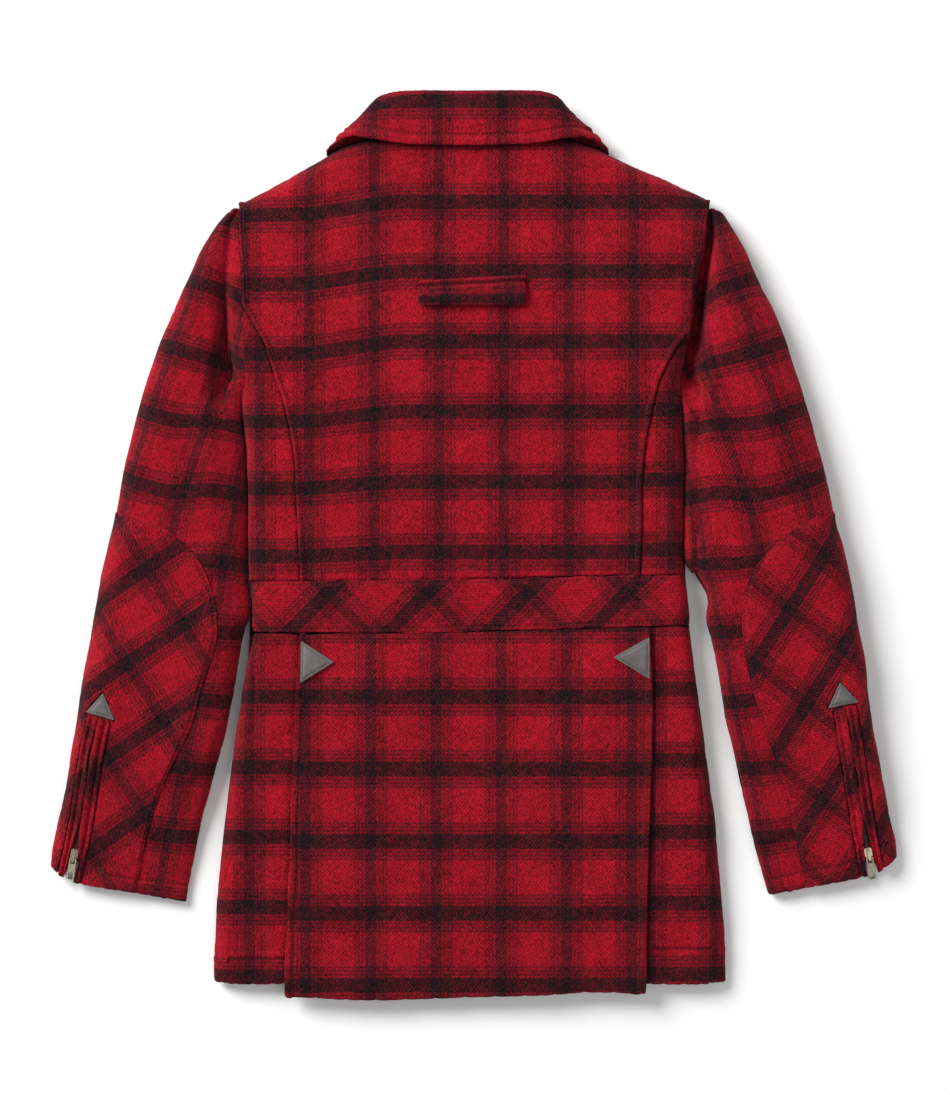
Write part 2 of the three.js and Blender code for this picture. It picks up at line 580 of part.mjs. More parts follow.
// How much a place is under the skirt's centre panel, and how near it is to the waistband.
const skirtOut = (side, y) => along(SKIRT, "y", side, y);
const underPanel = (x, y) => 1 - smooth((Math.abs(x) - skirtOut(sideOf(x), y) - 1) / 14);
const nearWaist = (x, y) => 1 - smooth((along(WAIST, "x", "bottom", x) - y) / SKIRT_RISE);
const LAP = WALL + LAID_GAP + 0.2;
const SKIRT_DROPS = [0, 8, 16, 25, 40, 70, 110, 155, 200, 245, 290, 332];

const skirtY = (x, v, hem) => {
  const top = along(WAIST, "x", "bottom", x) - GAP / 2;
  const at = v * (SKIRT_DROPS.length - 1);
  const i = Math.min(Math.floor(at), SKIRT_DROPS.length - 2);
  return lerp(top, hem, lerp(SKIRT_DROPS[i], SKIRT_DROPS[i + 1], at - i) / SKIRT_DROPS.at(-1));
};

const skirtSidePoint = (side) => (u, v) => {
  const sign = signOf(side);
  const y = skirtY(sign * lerp(205, 119, u), v, HEM);
  const length = bodyOut(side, y) - skirtOut(side, y) + UNDERLAP;
  const line = fromRim(0, SIDE_ROUND, length, 10).map((d) => {
    const x = sign * (bodyOut(side, y) - d);
    return new THREE.Vector3(x, y, backHeight(x, y) - LAP * underPanel(x, y) * nearWaist(x, y));
  });
  return atShare(line, u);
};

const skirtCenterPoint = (u, v) => {
  const hemX = lerp(-skirtOut("left", -416), skirtOut("right", -416), u);
  const y = skirtY(lerp(-162, 164, u), v, along(SKIRT_HEM, "x", "y", hemX));
  const x = lerp(-skirtOut("left", y), skirtOut("right", y), u);
  return new THREE.Vector3(x, y, backHeight(x, y) + LAP * (1 - nearWaist(x, y)));
};

const SKIRT_SIDE_COLUMNS = [0, 0.05, 0.1, 0.15, 0.22, 0.35, 0.5, 0.6, 0.7, 0.85, 1];
const skirtVs = range(SKIRT_DROPS.length - 1);
const skirtCenterUs = range(12);

// The sleeves

function sleeveRow(side, v) {
  const row = rowAt(SLEEVES[side], v);
  const seam = bodyOut(side, row.innerY) - foldIn(side, row.innerY) + ARMHOLE_GAP;
  const clear = Math.max(row.innerOut, bodyOut(side, row.innerY) + BODY_CLEAR);
  const onArmhole = row.innerY >= ARMPIT;
  const innerOut = onArmhole ? seam : lerp(seam, clear, smooth((ARMPIT - row.innerY) / 20));
  return { ...row, innerOut, onArmhole };
}

// A section's points as distances along it and heights, placed between its inner and outer ends.
function sleeveLine(side, v, heights) {
  const sign = signOf(side);
  const row = sleeveRow(side, v);
  const inner = new THREE.Vector2(sign * row.innerOut, row.innerY);
  const outer = new THREE.Vector2(sign * row.outerOut, row.outerY);
  const width = inner.distanceTo(outer);
  const along1 = outer.clone().sub(inner).divideScalar(width);
  const onward = new THREE.Vector2(along1.y, -along1.x).multiplyScalar(sign);
  const cuff = smooth((v - CUFF_FROM) / (1 - CUFF_FROM));
  return heights(row, width).map(({ s, z }) => {
    const past = cuff * along(CUFF_EDGE, "share", "past", s / width);
    const place = inner.clone().addScaledVector(along1, s).addScaledVector(onward, past);
    return new THREE.Vector3(place.x, place.y, z);
  });
}

const quarter = range(ROUND_STEPS).map((s) => 1 - Math.cos((s * Math.PI) / 2));

const upperHeights = (side) => (row, width) => {
  const seam = row.crown * SEAM_AT + RIM_GAP;
  const start = backHeight(signOf(side) * row.innerOut, row.innerY);
  const strip1 = row.onArmhole ? row.strip : 0;
  const valley = row.onArmhole ? row.valley : 0;
  const low = row.onArmhole ? Math.max(seam - row.dip, 2 * WALL + 0.8) : seam;
  const foot = strip1 + valley;
  const height = (s) => {
    const outside = rise(seam, row.crown, (width - s) / row.round);
    if (s < strip1) return Math.min(outside, low + (start - low) * Math.sqrt(1 - (s / strip1) ** 2));
    return Math.min(outside, rise(low, row.crown, (s - foot) / row.flank));
  };
  const places = [
    ...range(ROUND_STEPS).map((s) => strip1 * Math.sin((s * Math.PI) / 2)),
    ...quarter.map((q) => foot + row.flank * q),
    ...quarter.map((q) => width - row.round * q),
    ...range(6).map((s) => lerp(foot, width, s)),
  ];
  const sorted = [...new Set(places.filter((s) => s >= 0 && s <= width))].sort((a, b) => a - b);
  return sorted.map((s) => ({ s, z: height(s) }));
};

const underHeights = (side) => (row, width) => {
  const seam = row.crown * SEAM_AT - RIM_GAP;
  const start = row.onArmhole ? frontHeight(signOf(side) * row.innerOut, row.innerY) : seam;
  const round = Math.min(UNDER_ROUND, width / 2);
  const height = (s) => Math.max(rise(start, 0, s / round), rise(seam, 0, (width - s) / round));
  const places = [
    ...quarter.map((q) => round * q),
    ...quarter.map((q) => width - round * q),
    ...range(4).map((s) => lerp(round, width - round, s)),
  ];
  const sorted = [...new Set(places)].sort((a, b) => a - b);
  return sorted.map((s) => ({ s, z: height(s) }));
};

const upperPoint = (side) => (u, v) => atShare(sleeveLine(side, v, upperHeights(side)), u);
const underPoint = (side) => (u, v) => atShare(sleeveLine(side, v, underHeights(side)), u);

const SLEEVE_COLUMNS = [0, 0.03, 0.06, 0.1, 0.145, 0.2, 0.27, 0.36, 0.48, 0.6, 0.7, 0.78, 0.84, 0.89, 0.93, 0.965, 1];
const UNDER_COLUMNS = [0, 0.035, 0.07, 0.105, 0.15, 0.4, 0.85, 0.895, 0.93, 0.965, 1];
const sleeveVs = range(SLEEVES.left.length - 1);

// What is sewn on the sleeve: its wall's points moved out, cut to an outline.
const sleeveLayer = (side, inner, outer) =>
  wall(upperPoint(side), SLEEVE_COLUMNS, sleeveVs, inner, outer, -signOf(side));
const onSleeve = (side, outline, height) =>
  sleeveLayer(side, LAID_GAP, LAID_GAP + height).intersect(curtain(outline));

const FAR = 430; // past the outline, for cutting
const grown = (points, by) => {
  const x = points.reduce((sum, p) => sum + p.x, 0) / points.length;
  const y = points.reduce((sum, p) => sum + p.y, 0) / points.length;
  return points.map((p) => {
    const away = Math.hypot(p.x - x, p.y - y);
    return { x: p.x + ((p.x - x) / away) * by, y: p.y + ((p.y - y) / away) * by };
  });
};

const zipLine = (side) =>
  range(12).map((s) => {
    const y = lerp(ZIPS[side][0].y, ZIPS[side].at(-1).y, s);
    return { x: signOf(side) * along(ZIPS[side], "y", "out", y), y };
  });

// Half the gap between the welts, a share of the way down the zip.
const gapAt = (share) =>
  lerp(WELT_GAP.narrow, WELT_GAP.wide, smooth((share - WELT_GAP.from) / (WELT_GAP.to - WELT_GAP.from)));

function notchOutline(side) {
  const below = SLIDER_AT[side] - SLIDER.length / 2 - 0.5;
  return strip(zipLine(side).filter(({ y }) => y < below + 9), -NOTCH, NOTCH).map(({ x, y }) => ({
    x,
    y: Math.min(y, below),
  }));
}

function zipPieces(side) {
  const sign = signOf(side);
  const line = zipLine(side);
  const welt = (hand) => {
    const outline = strip(line, (share) => hand * gapAt(share), hand * WELT.edge);
    return onSleeve(side, outline, WELT.height);
  };
  const notch = curtain(notchOutline(side));
  const chain = onSleeve(side, strip(line, -CHAIN.halfWidth, CHAIN.halfWidth), CHAIN.height);
  return {
    [`zip_welt_outer_${side}`]: welt(-sign).subtract(notch),
    [`zip_welt_inner_${side}`]: welt(sign).subtract(notch),
    [`zip_chain_${side}`]: bodyNear(chain.subtract(notch), line[4].x, line[4].y),
  };
}

function elbowPatch(side) {
  const sign = signOf(side);
  const rows = PATCH_EDGES[side];
  const curve = new THREE.SplineCurve(rows.map(({ out, y }) => new THREE.Vector2(sign * out, y)));
  const edge = curve.getPoints(40).map(({ x, y }) => ({ x, y }));
  const outline = [...edge, { x: sign * FAR, y: rows.at(-1).y }, { x: sign * FAR, y: rows[0].y }];
  const line = zipLine(side);
  const slot = curtain(strip(line, -WELT.edge - GAP, WELT.edge + GAP));
  const patch = onSleeve(side, outline, PATCH)
    .subtract(slot)
    .subtract(curtain(grown(TRIANGLES[`sleeve_triangle_${side}`], GAP)));
  return bodyNear(patch, sign * 320, -150);
}

function sleevePanels(side) {
  const sign = signOf(side);
  const notch = curtain(notchOutline(side));
  const upper = sleeveLayer(side, -WALL, 0);
  const under = wall(underPoint(side), UNDER_COLUMNS, sleeveVs, -WALL, 0, sign);
  return {
    [`sleeve_upper_${side}`]: upper.subtract(notch),
    [`sleeve_under_${side}`]: under.subtract(notch),
    [`elbow_patch_${side}`]: elbowPatch(side),
    [`sleeve_triangle_${side}`]: onSleeve(side, TRIANGLES[`sleeve_triangle_${side}`], PATCH + 0.6),
  };
}

// Zip slider and its pull tab, in the slider's own frame: the pull points down -Y from a bar under the bridge.

const plate = (shape, depth) => new THREE.ExtrudeGeometry(shape, { depth, bevelEnabled: false, curveSegments: 4 });

function roundedBox(width, low, high, corner, path = new THREE.Shape()) {
  const half = width / 2;
  path.moveTo(-half + corner, low);
  path.lineTo(half - corner, low).absarc(half - corner, low + corner, corner, -Math.PI / 2, 0);
  path.lineTo(half, high - corner).absarc(half - corner, high - corner, corner, 0, Math.PI / 2);
  path.lineTo(-half + corner, high).absarc(-half + corner, high - corner, corner, Math.PI / 2, Math.PI);
  path.lineTo(-half, low + corner).absarc(-half + corner, low + corner, corner, Math.PI, 1.5 * Math.PI);
  return path;
}

const BAR_Y = -SLIDER.length / 2 + SLIDER.legs + 1.4; // the pull's bar, close to the slider's lower end
const BAR_Z = SLIDER.plate + SLIDER.clear / 2;

function sliderSolid() {
  const half = SLIDER.length / 2;
  const body = solidOf(plate(roundedBox(SLIDER.width, -half + 3.2, half, 1.8), SLIDER.plate));
  const foot = solidOf(plate(roundedBox(SLIDER.bridge, -half, 0, 0.4), SLIDER.plate));
  const rim = SLIDER.plate + SLIDER.clear;
  const arch = new THREE.Shape();
  arch.moveTo(-half, SLIDER.plate - 0.5).lineTo(-half, rim).quadraticCurveTo(-half, rim + SLIDER.top, -half + 2, rim + SLIDER.top);
  arch.lineTo(half - 3, rim + SLIDER.top).quadraticCurveTo(half - 0.5, rim + SLIDER.top, half - 0.5, SLIDER.plate - 0.5);
  arch.lineTo(half - 2.5, SLIDER.plate - 0.5).lineTo(half - 3, rim).lineTo(-half + SLIDER.legs, rim);
  arch.lineTo(-half + SLIDER.legs, SLIDER.plate - 0.5);
  const bridge = plate(arch, SLIDER.bridge).rotateX(Math.PI / 2).rotateZ(Math.PI / 2);
  return body.add(foot).add(solidOf(bridge.translate(-SLIDER.bridge / 2, 0, 0)));
}

function pullSolid() {
  const { width, length, bar, rail, loop, window, corner, thick } = PULL;
  const top = bar / 2;
  const shape = roundedBox(width, top - length, top, corner);
  shape.holes.push(roundedBox(width - 2 * rail, -loop, top - bar, 0.5, new THREE.Path()));
  shape.holes.push(roundedBox(width - 2 * rail, top - length + rail, top - length + rail + window, 0.8, new THREE.Path()));
  return solidOf(plate(shape, thick).translate(0, 0, -thick / 2));
}

// Where the slider is on the zip: its place on the chain, its turn along the zip and its slope.
function sliderPlace(side) {
  const line = zipLine(side);
  const y = SLIDER_AT[side];
  const x = signOf(side) * along(ZIPS[side], "y", "out", y);
  const probe = (px, py) => {
    const box = sleeveLayer(side, -WALL, LAID_GAP + CHAIN.height)
      .intersect(curtain(strip([{ x: px, y: py - 0.5 }, { x: px, y: py + 0.5 }], -0.5, 0.5)))
      .boundingBox();
    return box.max[2];
  };
  const down = line.at(-1);
  const turn = Math.atan2(down.x - x, -(down.y - y));
  const reach = SLIDER.length / 2;
  const upperZ = probe(x - Math.sin(turn) * reach, y + Math.cos(turn) * reach);
  const lowerZ = probe(x + Math.sin(turn) * (reach - 2), y - Math.cos(turn) * (reach - 2));
  const slope = Math.atan2(upperZ - lowerZ, 2 * reach - 2);
  const height = Math.max(probe(x, y), (upperZ + lowerZ) / 2) + LAID_GAP;
  const frame = new THREE.Matrix4().makeTranslation(x, y, height);
  frame.multiply(new THREE.Matrix4().makeRotationZ(turn));
  frame.multiply(new THREE.Matrix4().makeRotationX(slope));
  return { frame, slope };
}

// The pull hangs from its bar until its tip meets the surface that the coat lies on.
function pullPlace({ frame, slope }) {
  const hinge = new THREE.Vector3(0, BAR_Y, BAR_Z).applyMatrix4(frame);
  const droop = Math.asin((hinge.z - PULL_REST) / (PULL.length - PULL.bar / 2)) - slope;
  const hang = new THREE.Matrix4().makeTranslation(0, BAR_Y, BAR_Z);
  return frame.clone().multiply(hang).multiply(new THREE.Matrix4().makeRotationX(droop));
}

// The collar

function collarRow(u) {
  const share = Math.abs(2 * u - 1);
  return { ...rowAt(COLLAR, share), side: u < 0.5 ? -1 : 1 };
}

function collarFrame(u) {
  const row = collarRow(u);
  const turn = THREE.MathUtils.degToRad(row.turn);
  const at = (name) =>
    new THREE.Vector3(CENTRE + row.side * row[`${name}Out`], row[`${name}Y`], row[`${name}Z`]);
  const out = new THREE.Vector3(row.side * Math.cos(turn), 0, Math.sin(turn));
  const seam = at("seam");
  const fold = at("fold");
  const up = fold.clone().sub(seam);
  up.addScaledVector(out, -up.dot(out)).normalize();
  return { seam, fold, edge: at("edge"), out, up };
}

// The collar's face from the neck seam up its stand, over the roll and down to the fall's free edge.
const ROLL_FROM = -75; // degrees from the roll's top on the inside
const ROLL_TO = 82;
const collarPoint = (spare) => (u, v) => {
  const { seam, fold, edge, out, up } = collarFrame(u);
  const rolled = range(12).map((s) => {
    const angle = THREE.MathUtils.degToRad(lerp(ROLL_FROM, ROLL_TO, s));
    return fold
      .clone()
      .addScaledVector(up, COLLAR_ROLL * Math.cos(angle))
      .addScaledVector(out, COLLAR_ROLL * Math.sin(angle));
  });
  const onward = edge.clone().sub(rolled.at(-1)).normalize();
  const foot = seam.addScaledVector(up, GAP).addScaledVector(out, -WALL);
  return atShare([foot, ...rolled, edge.addScaledVector(onward, spare)], v);
};

const COLLAR_US = range(32);
const COLLAR_VS = [0, 0.12, 0.24, 0.3, 0.36, 0.42, 0.48, 0.56, 0.68, 0.84, 1];

// The tab across the back, a flat folded strap with rounded edges

function tabSolid() {
  const place = (u, v) => {
    const x = lerp(TAB.left, TAB.right, u);
    const y = lerp(TAB.top, TAB.bottom, v) + TAB.lean * x * (1 - v);
    return { x, y };
  };
  const surface = (u, v) => {
    const { x, y } = place(u, v);
    return new THREE.Vector3(x, y, backHeight(x, y));
  };
  const layer = wall(surface, range(10), range(4), LAID_GAP, LAID_GAP + TAB.height, -1);
  return layer;
}

// The object

const coat = new THREE.Group();

function add(name, solid, finish) {
  const { vertProperties, triVerts } = solid.getMesh();
  const geometry = new THREE.BufferGeometry();
  geometry.setAttribute("position", new THREE.BufferAttribute(vertProperties, 3));
  geometry.setIndex(new THREE.BufferAttribute(triVerts, 1));
  geometry.computeVertexNormals();
  const mesh = new THREE.Mesh(geometry, new THREE.MeshStandardMaterial(finish));
  mesh.name = name;
  coat.add(mesh);
  return mesh;
}

const BIAS_PIECES = /waistband|elbow/;
const finishOf = (name) => {
  if (/triangle/.test(name)) return HIDE;
  if (/chain|slider|pull/.test(name)) return METAL;
  return BIAS_PIECES.test(name) ? BIAS_WOOL : WOOL;
};

// What lies beneath the collar is cut clear of it.
const collarSolid = (spare) => wall(collarPoint(spare), COLLAR_US, COLLAR_VS, -WALL - spare, spare, -1);
const underCollar = collarSolid(2 * GAP);

const skirtCenter = (inner, outer) => wall(skirtCenterPoint, skirtCenterUs, skirtVs, inner, outer, -1);
const pieces = {
  ...bodyPanels(),
  skirt_back_center: skirtCenter(-WALL, 0),
  collar: collarSolid(0),
  back_tab: tabSolid(),
};
for (const side of ["left", "right"]) {
  const name = `skirt_triangle_${side}`;
  Object.assign(pieces, {
    [`skirt_side_${side}`]: wall(skirtSidePoint(side), SKIRT_SIDE_COLUMNS, skirtVs, -WALL, 0, signOf(side)),
    [`front_${side}`]: wall(frontPoint(side), FRONT_COLUMNS, range(FRONT_LEVELS.length - 1), -WALL, 0, -signOf(side))
      .subtract(underCollar),
    [name]: skirtCenter(LAID_GAP, LAID_GAP + LEATHER).intersect(curtain(TRIANGLES[name])),
    ...sleevePanels(side),
    ...zipPieces(side),
  });
}
for (const [name, solid] of Object.entries(pieces)) add(name, solid, finishOf(name));

for (const side of ["left", "right"]) {
  const place = sliderPlace(side);
  add(`zip_slider_${side}`, sliderSolid(), METAL).applyMatrix4(place.frame);
  add(`zip_pull_${side}`, pullSolid(), METAL).applyMatrix4(pullPlace(place));
}

export default coat;
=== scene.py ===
"""Looks of a wool coat lying flat with its back up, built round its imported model.

Objects are in metres. Tables are in millimetres, seen from above: +X right, +Y towards the collar, +Z up.
"""
import math

import bpy
import numpy as np
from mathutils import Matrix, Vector
from mathutils.bvhtree import BVHTree


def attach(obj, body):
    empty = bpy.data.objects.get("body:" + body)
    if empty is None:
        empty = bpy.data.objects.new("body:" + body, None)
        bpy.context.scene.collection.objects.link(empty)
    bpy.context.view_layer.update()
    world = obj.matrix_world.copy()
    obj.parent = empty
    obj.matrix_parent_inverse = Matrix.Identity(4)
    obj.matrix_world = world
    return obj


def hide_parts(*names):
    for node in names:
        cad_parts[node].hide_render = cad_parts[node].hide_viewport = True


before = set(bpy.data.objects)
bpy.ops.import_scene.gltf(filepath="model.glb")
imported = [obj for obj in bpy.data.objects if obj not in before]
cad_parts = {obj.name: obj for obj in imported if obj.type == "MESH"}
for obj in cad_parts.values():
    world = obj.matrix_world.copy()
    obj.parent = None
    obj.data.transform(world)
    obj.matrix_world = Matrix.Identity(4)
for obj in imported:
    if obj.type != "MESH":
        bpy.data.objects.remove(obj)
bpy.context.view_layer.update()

MM = 0.001
SIDES = {"left": -1, "right": 1}

# The plaid's repeats across its warp and its weft stripes, and the twill's pitch
WARP_REPEAT = 60.2
WEFT_REPEAT = 65.1
TWILL_PITCH = 3.6

# How high the back and the crowns of the sleeves stand, from the hem up
BACK_LOFT = [(-408, 16), (-328, 21), (-217, 25), (-105, 28), (-12, 31), (132, 34), (241, 32), (320, 25)]
SLEEVE_CROWN = [(-330, 11.5), (-300, 14), (-245, 20), (-189, 27), (-91, 32), (44, 35), (225, 34), (320, 24)]

# Seams, free edges and hems, each a line seen from above
BACK_SEAM = {
    "left": [
        (-222, 236), (-214.8, 225), (-209.3, 214), (-194.4, 188), (-186, 160), (-177.6, 136),
        (-172, 113.5), (-166.5, 79), (-164.6, 25), (-161.8, -31),
    ],
    "right": [
        (206, 206), (198.5, 198), (186, 182), (172, 153.5), (165.5, 127), (160, 99.5),
        (156.2, 58.6), (156.2, 25), (154.4, -31),
    ],
}
ARMHOLE = {
    "left": [(-219, 317), (-219, 302), (-217, 270), (-215.3, 241), (-214.6, 215)],
    "right": [(219, 317), (216.3, 300), (210.3, 270), (204.5, 241), (201.5, 210), (197.5, 190)],
}
BESIDE_SLEEVE = {
    "left": [(-213.5, 150), (-211, 60), (-209.5, -20), (-208.5, -66)],
    "right": [(197, 150), (196.5, 60), (196, 0), (198, -66)],
}
WAIST_TOP = [(-212, -32), (-95, -31), (34, -29), (202, -26)]
WAIST_BOTTOM = [(-208, -79.5), (-95, -80), (34, -77.5), (203, -72.5)]
PANEL_SIDE = {
    "left": [
        (-161.8, -82), (-163.7, -128), (-166.5, -186), (-169.3, -253), (-169.3, -300), (-173, -350),
        (-174.8, -416),
    ],
    "right": [
        (163.7, -82), (164.6, -128), (164.2, -186), (162.3, -253), (160.4, -300), (159.3, -350),
        (158.1, -416),
    ],
}
COLLAR_EDGE = [(-124, 379), (-106, 381.5), (-62, 374.5), (-6, 373), (50, 374.5), (94, 381.5), (112, 379)]
TAB_TOP = [(-51.5, 246.7), (47.5, 252.1)]
SIDE_HEM = {"left": [(-243, -384), (-176, -384)], "right": [(160, -375), (235, -375)]}
CUFF_HEM = {
    "left": [(-389, -284), (-366, -292), (-345, -306), (-310, -311), (-268, -316)],
    "right": [(389, -275), (366, -284), (345, -297), (310, -303), (274, -311)],
}
PATCH_EDGE = {
    "left": [
        (-332, 31.6), (-290, 18.6), (-257.6, -9.3), (-241.8, -43.7), (-238.1, -78), (-241.8, -97),
        (-253, -130), (-263.2, -167), (-290.2, -226), (-303.2, -266), (-316, -330),
    ],
    "right": [
        (335.7, 34.4), (304, 21.4), (274.4, -2.8), (256.7, -26), (249.2, -57.7), (250.2, -92),
        (256.7, -124.6), (268.8, -164.6), (292.9, -244.6), (304.1, -293), (309, -322),
    ],
}
ZIP = {
    "left": [
        (-347.8, -158), (-353.4, -182.3), (-360.8, -226), (-365.2, -254), (-370.4, -279),
        (-373.4, -291), (-380, -320),
    ],
    "right": [(343.8, -148), (352.5, -200), (359.8, -244.6), (367.6, -286.2), (375, -318)],
}
TRIANGLES = {
    "skirt_triangle_left": [(-160.5, -87), (-130, -107), (-161.5, -126.5)],
    "skirt_triangle_right": [(163, -83.5), (129.3, -102.3), (163.2, -122.8)],
    "sleeve_triangle_left": [(-344.1, -135.5), (-360.5, -153.5), (-333.5, -161)],
    "sleeve_triangle_right": [(339.5, -125.6), (328.8, -149.7), (357.5, -144.2)],
}

# Soft folds: from, to, half width across and height, below zero for a trough
FOLDS = [
    # beside the left armhole and down the sleeve
    ((-236, 178), (-226, 108), 7, -2.2),
    ((-252, 150), (-236, 60), 10, 1.6),
    ((-272, 118), (-250, 20), 12, -1.8),
    ((-296, 150), (-276, 40), 14, 1.2),
    ((-246, 215), (-238, 178), 6, 1.4),
    ((-230, 20), (-262, 2), 9, -1.4),
    ((-222, -30), (-246, -52), 7, 1.3),
    ((-226, -120), (-244, -170), 6, -1.5),
    ((-236, -150), (-252, -215), 6, 1.3),
    ((-252, -200), (-268, -270), 6, -1.3),
    ((-330, 20), (-345, -60), 12, -1.0),
    ((-285, -175), (-318, -215), 12, -1.0),
    ((-300, -85), (-345, -120), 13, 0.9),
    # right sleeve
    ((212, 168), (232, 112), 8, 1.9),
    ((222, 140), (238, 86), 7, -1.2),
    ((236, 176), (262, 96), 11, -1.5),
    ((272, 160), (286, 60), 13, 1.3),
    ((206, 30), (238, 8), 8, -1.8),
    ((214, -2), (246, -24), 7, 1.6),
    ((222, -60), (240, -110), 6, -1.4),
    ((234, -120), (252, -190), 6, 1.2),
    ((250, -190), (266, -262), 6, -1.3),
    ((300, -60), (335, -110), 13, -1.0),
    ((280, -150), (308, -205), 12, 0.9),
    # where the sleeves sink beside the back
    ((-227, 200), (-229, 60), 11, -2.6),
    ((-227, 90), (-224, -60), 11, -2.6),
    ((204, 215), (208, 95), 9, -3.0),
    ((214, 150), (212, 30), 11, -2.2),
    ((210, 70), (214, -60), 11, -2.4),
    # back
    ((-216, 212), (-212, 190), 2.6, -1.3),
    ((-210, 210), (-206, 194), 2.2, 0.8),
    ((-196, 150), (-205, 40), 9, 1.1),
    ((-186, 60), (-200, -28), 8, -1.1),
    ((170, 150), (184, 60), 8, 1.0),
    ((168, 40), (186, -26), 8, -1.0),
    ((-150, 300), (-120, 200), 26, 0.9),
    ((-60, 330), (-90, 230), 24, -0.8),
    ((70, 330), (110, 250), 24, -0.9),
    ((130, 300), (150, 180), 22, 0.9),
    ((-100, 20), (-60, -24), 18, -0.9),
    ((20, 10), (50, -26), 18, 0.8),
    ((100, 60), (120, -20), 18, -0.8),
    ((-52, 236), (-100, 205), 12, -0.8),
    ((50, 236), (96, 200), 12, -0.8),
    # skirt
    ((-140, -90), (-130, -250), 13, -1.5),
    ((-100, -84), (-92, -220), 14, 1.3),
    ((-40, -84), (-46, -200), 12, -1.1),
    ((20, -84), (12, -230), 14, 1.2),
    ((70, -84), (80, -240), 12, -1.4),
    ((118, -84), (124, -270), 13, 1.3),
    ((-20, -260), (-30, -415), 22, -1.2),
    ((90, -270), (100, -414), 20, 1.1),
    ((-110, -260), (-120, -416), 20, 1.1),
    ((-196, -90), (-208, -200), 9, -1.3),
    ((-216, -180), (-222, -330), 11, 1.2),
    ((-196, -280), (-200, -405), 10, -1.1),
    ((180, -84), (190, -190), 9, -1.3),
    ((206, -150), (212, -300), 11, 1.2),
    ((186, -270), (190, -405), 10, -1.2),
    # collar
    ((-70, 400), (-40, 384), 14, -0.8),
    ((40, 402), (60, 384), 14, -0.8),
    ((-6, 412), (-6, 380), 18, 0.7),
]


def side_of(name):
    return name.rsplit("_", 1)[-1]


def smooth(value):
    """A soft step from 0 to 1."""
    t = np.clip(value, 0, 1)
    return t * t * (3 - 2 * t)


def bell(distance, width):
    """A soft bump, 1 in its middle."""
    return np.exp(-((distance / width) ** 2))


def table_at(rows, values):
    return np.interp(values, [row[0] for row in rows], [row[1] for row in rows])


LINE_STEP = 0.4


def travel(line):
    """How far along the line each of its points is."""
    return np.r_[0, np.cumsum(np.linalg.norm(np.diff(line, axis=0), axis=1))]


def place_at(line, travelled, at):
    """The place that is so far along the line."""
    return np.array([np.interp(at, travelled, line[:, axis]) for axis in (0, 1)])


def dense(line):
    """The same line with its points LINE_STEP apart."""
    line = np.array(line, float)
    travelled = travel(line)
    at = np.linspace(0, travelled[-1], max(2, int(travelled[-1] / LINE_STEP) + 1))
    return place_at(line, travelled, at).T


# How near a line its distances are worked out, and the distance given beyond that
REACH = 30.0
FAR = 1e3


def distance_to(line, points, reach=REACH):
    """How far each point is from a line, up to a reach, and how far along the line it is."""
    line = np.array(line, float)
    best = np.full(len(points), FAR)
    travelled = np.zeros(len(points))
    inside = np.all((points > line.min(axis=0) - reach) & (points < line.max(axis=0) + reach), axis=1)
    rows = np.flatnonzero(inside)
    close = points[rows]
    least = best[rows]
    along = travelled[rows]
    start = 0.0
    for a, b in zip(line[:-1], line[1:]):
        way = b - a
        length = np.linalg.norm(way)
        share = np.clip(((close - a) @ way) / length**2, 0, 1)
        offset = close - (a + share[:, None] * way)
        distance = np.hypot(offset[:, 0], offset[:, 1])
        near = distance < least
        least[near] = distance[near]
        along[near] = start + share[near] * length
        start += length
    best[rows] = least
    travelled[rows] = along
    return best, travelled


# Meshes


def node_mesh(name):
    """A CAD node's points, in millimetres, and triangles."""
    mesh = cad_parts[name].data
    points = np.empty(len(mesh.vertices) * 3)
    mesh.vertices.foreach_get("co", points)
    points = points.reshape(-1, 3) / MM
    mesh.calc_loop_triangles()
    faces = np.empty(len(mesh.loop_triangles) * 3, int)
    mesh.loop_triangles.foreach_get("vertices", faces)
    _, first, merged = np.unique(np.round(points, 3), axis=0, return_index=True, return_inverse=True)
    faces = merged.reshape(-1)[faces].reshape(-1, 3)
    whole = (faces[:, 0] != faces[:, 1]) & (faces[:, 1] != faces[:, 2]) & (faces[:, 2] != faces[:, 0])
    return points[first], faces[whole]


def edges_of(faces):
    """Unique edges, and for each face the numbers of its three edges."""
    pairs = np.sort(np.concatenate([faces[:, [0, 1]], faces[:, [1, 2]], faces[:, [2, 0]]]), axis=1)
    span = pairs.max() + 1
    keys, number = np.unique(pairs[:, 0] * span + pairs[:, 1], return_inverse=True)
    return np.column_stack([keys // span, keys % span]), number.reshape(3, -1).T


# Lengths of triangle sides, in millimetres: hidden faces, hidden pieces, cloth that shows and leather
COARSE_SIZE = 14.0
HIDDEN_SIZE = 7.0
CLOTH_SIZE = 3.8
LEATHER_SIZE = 1.4


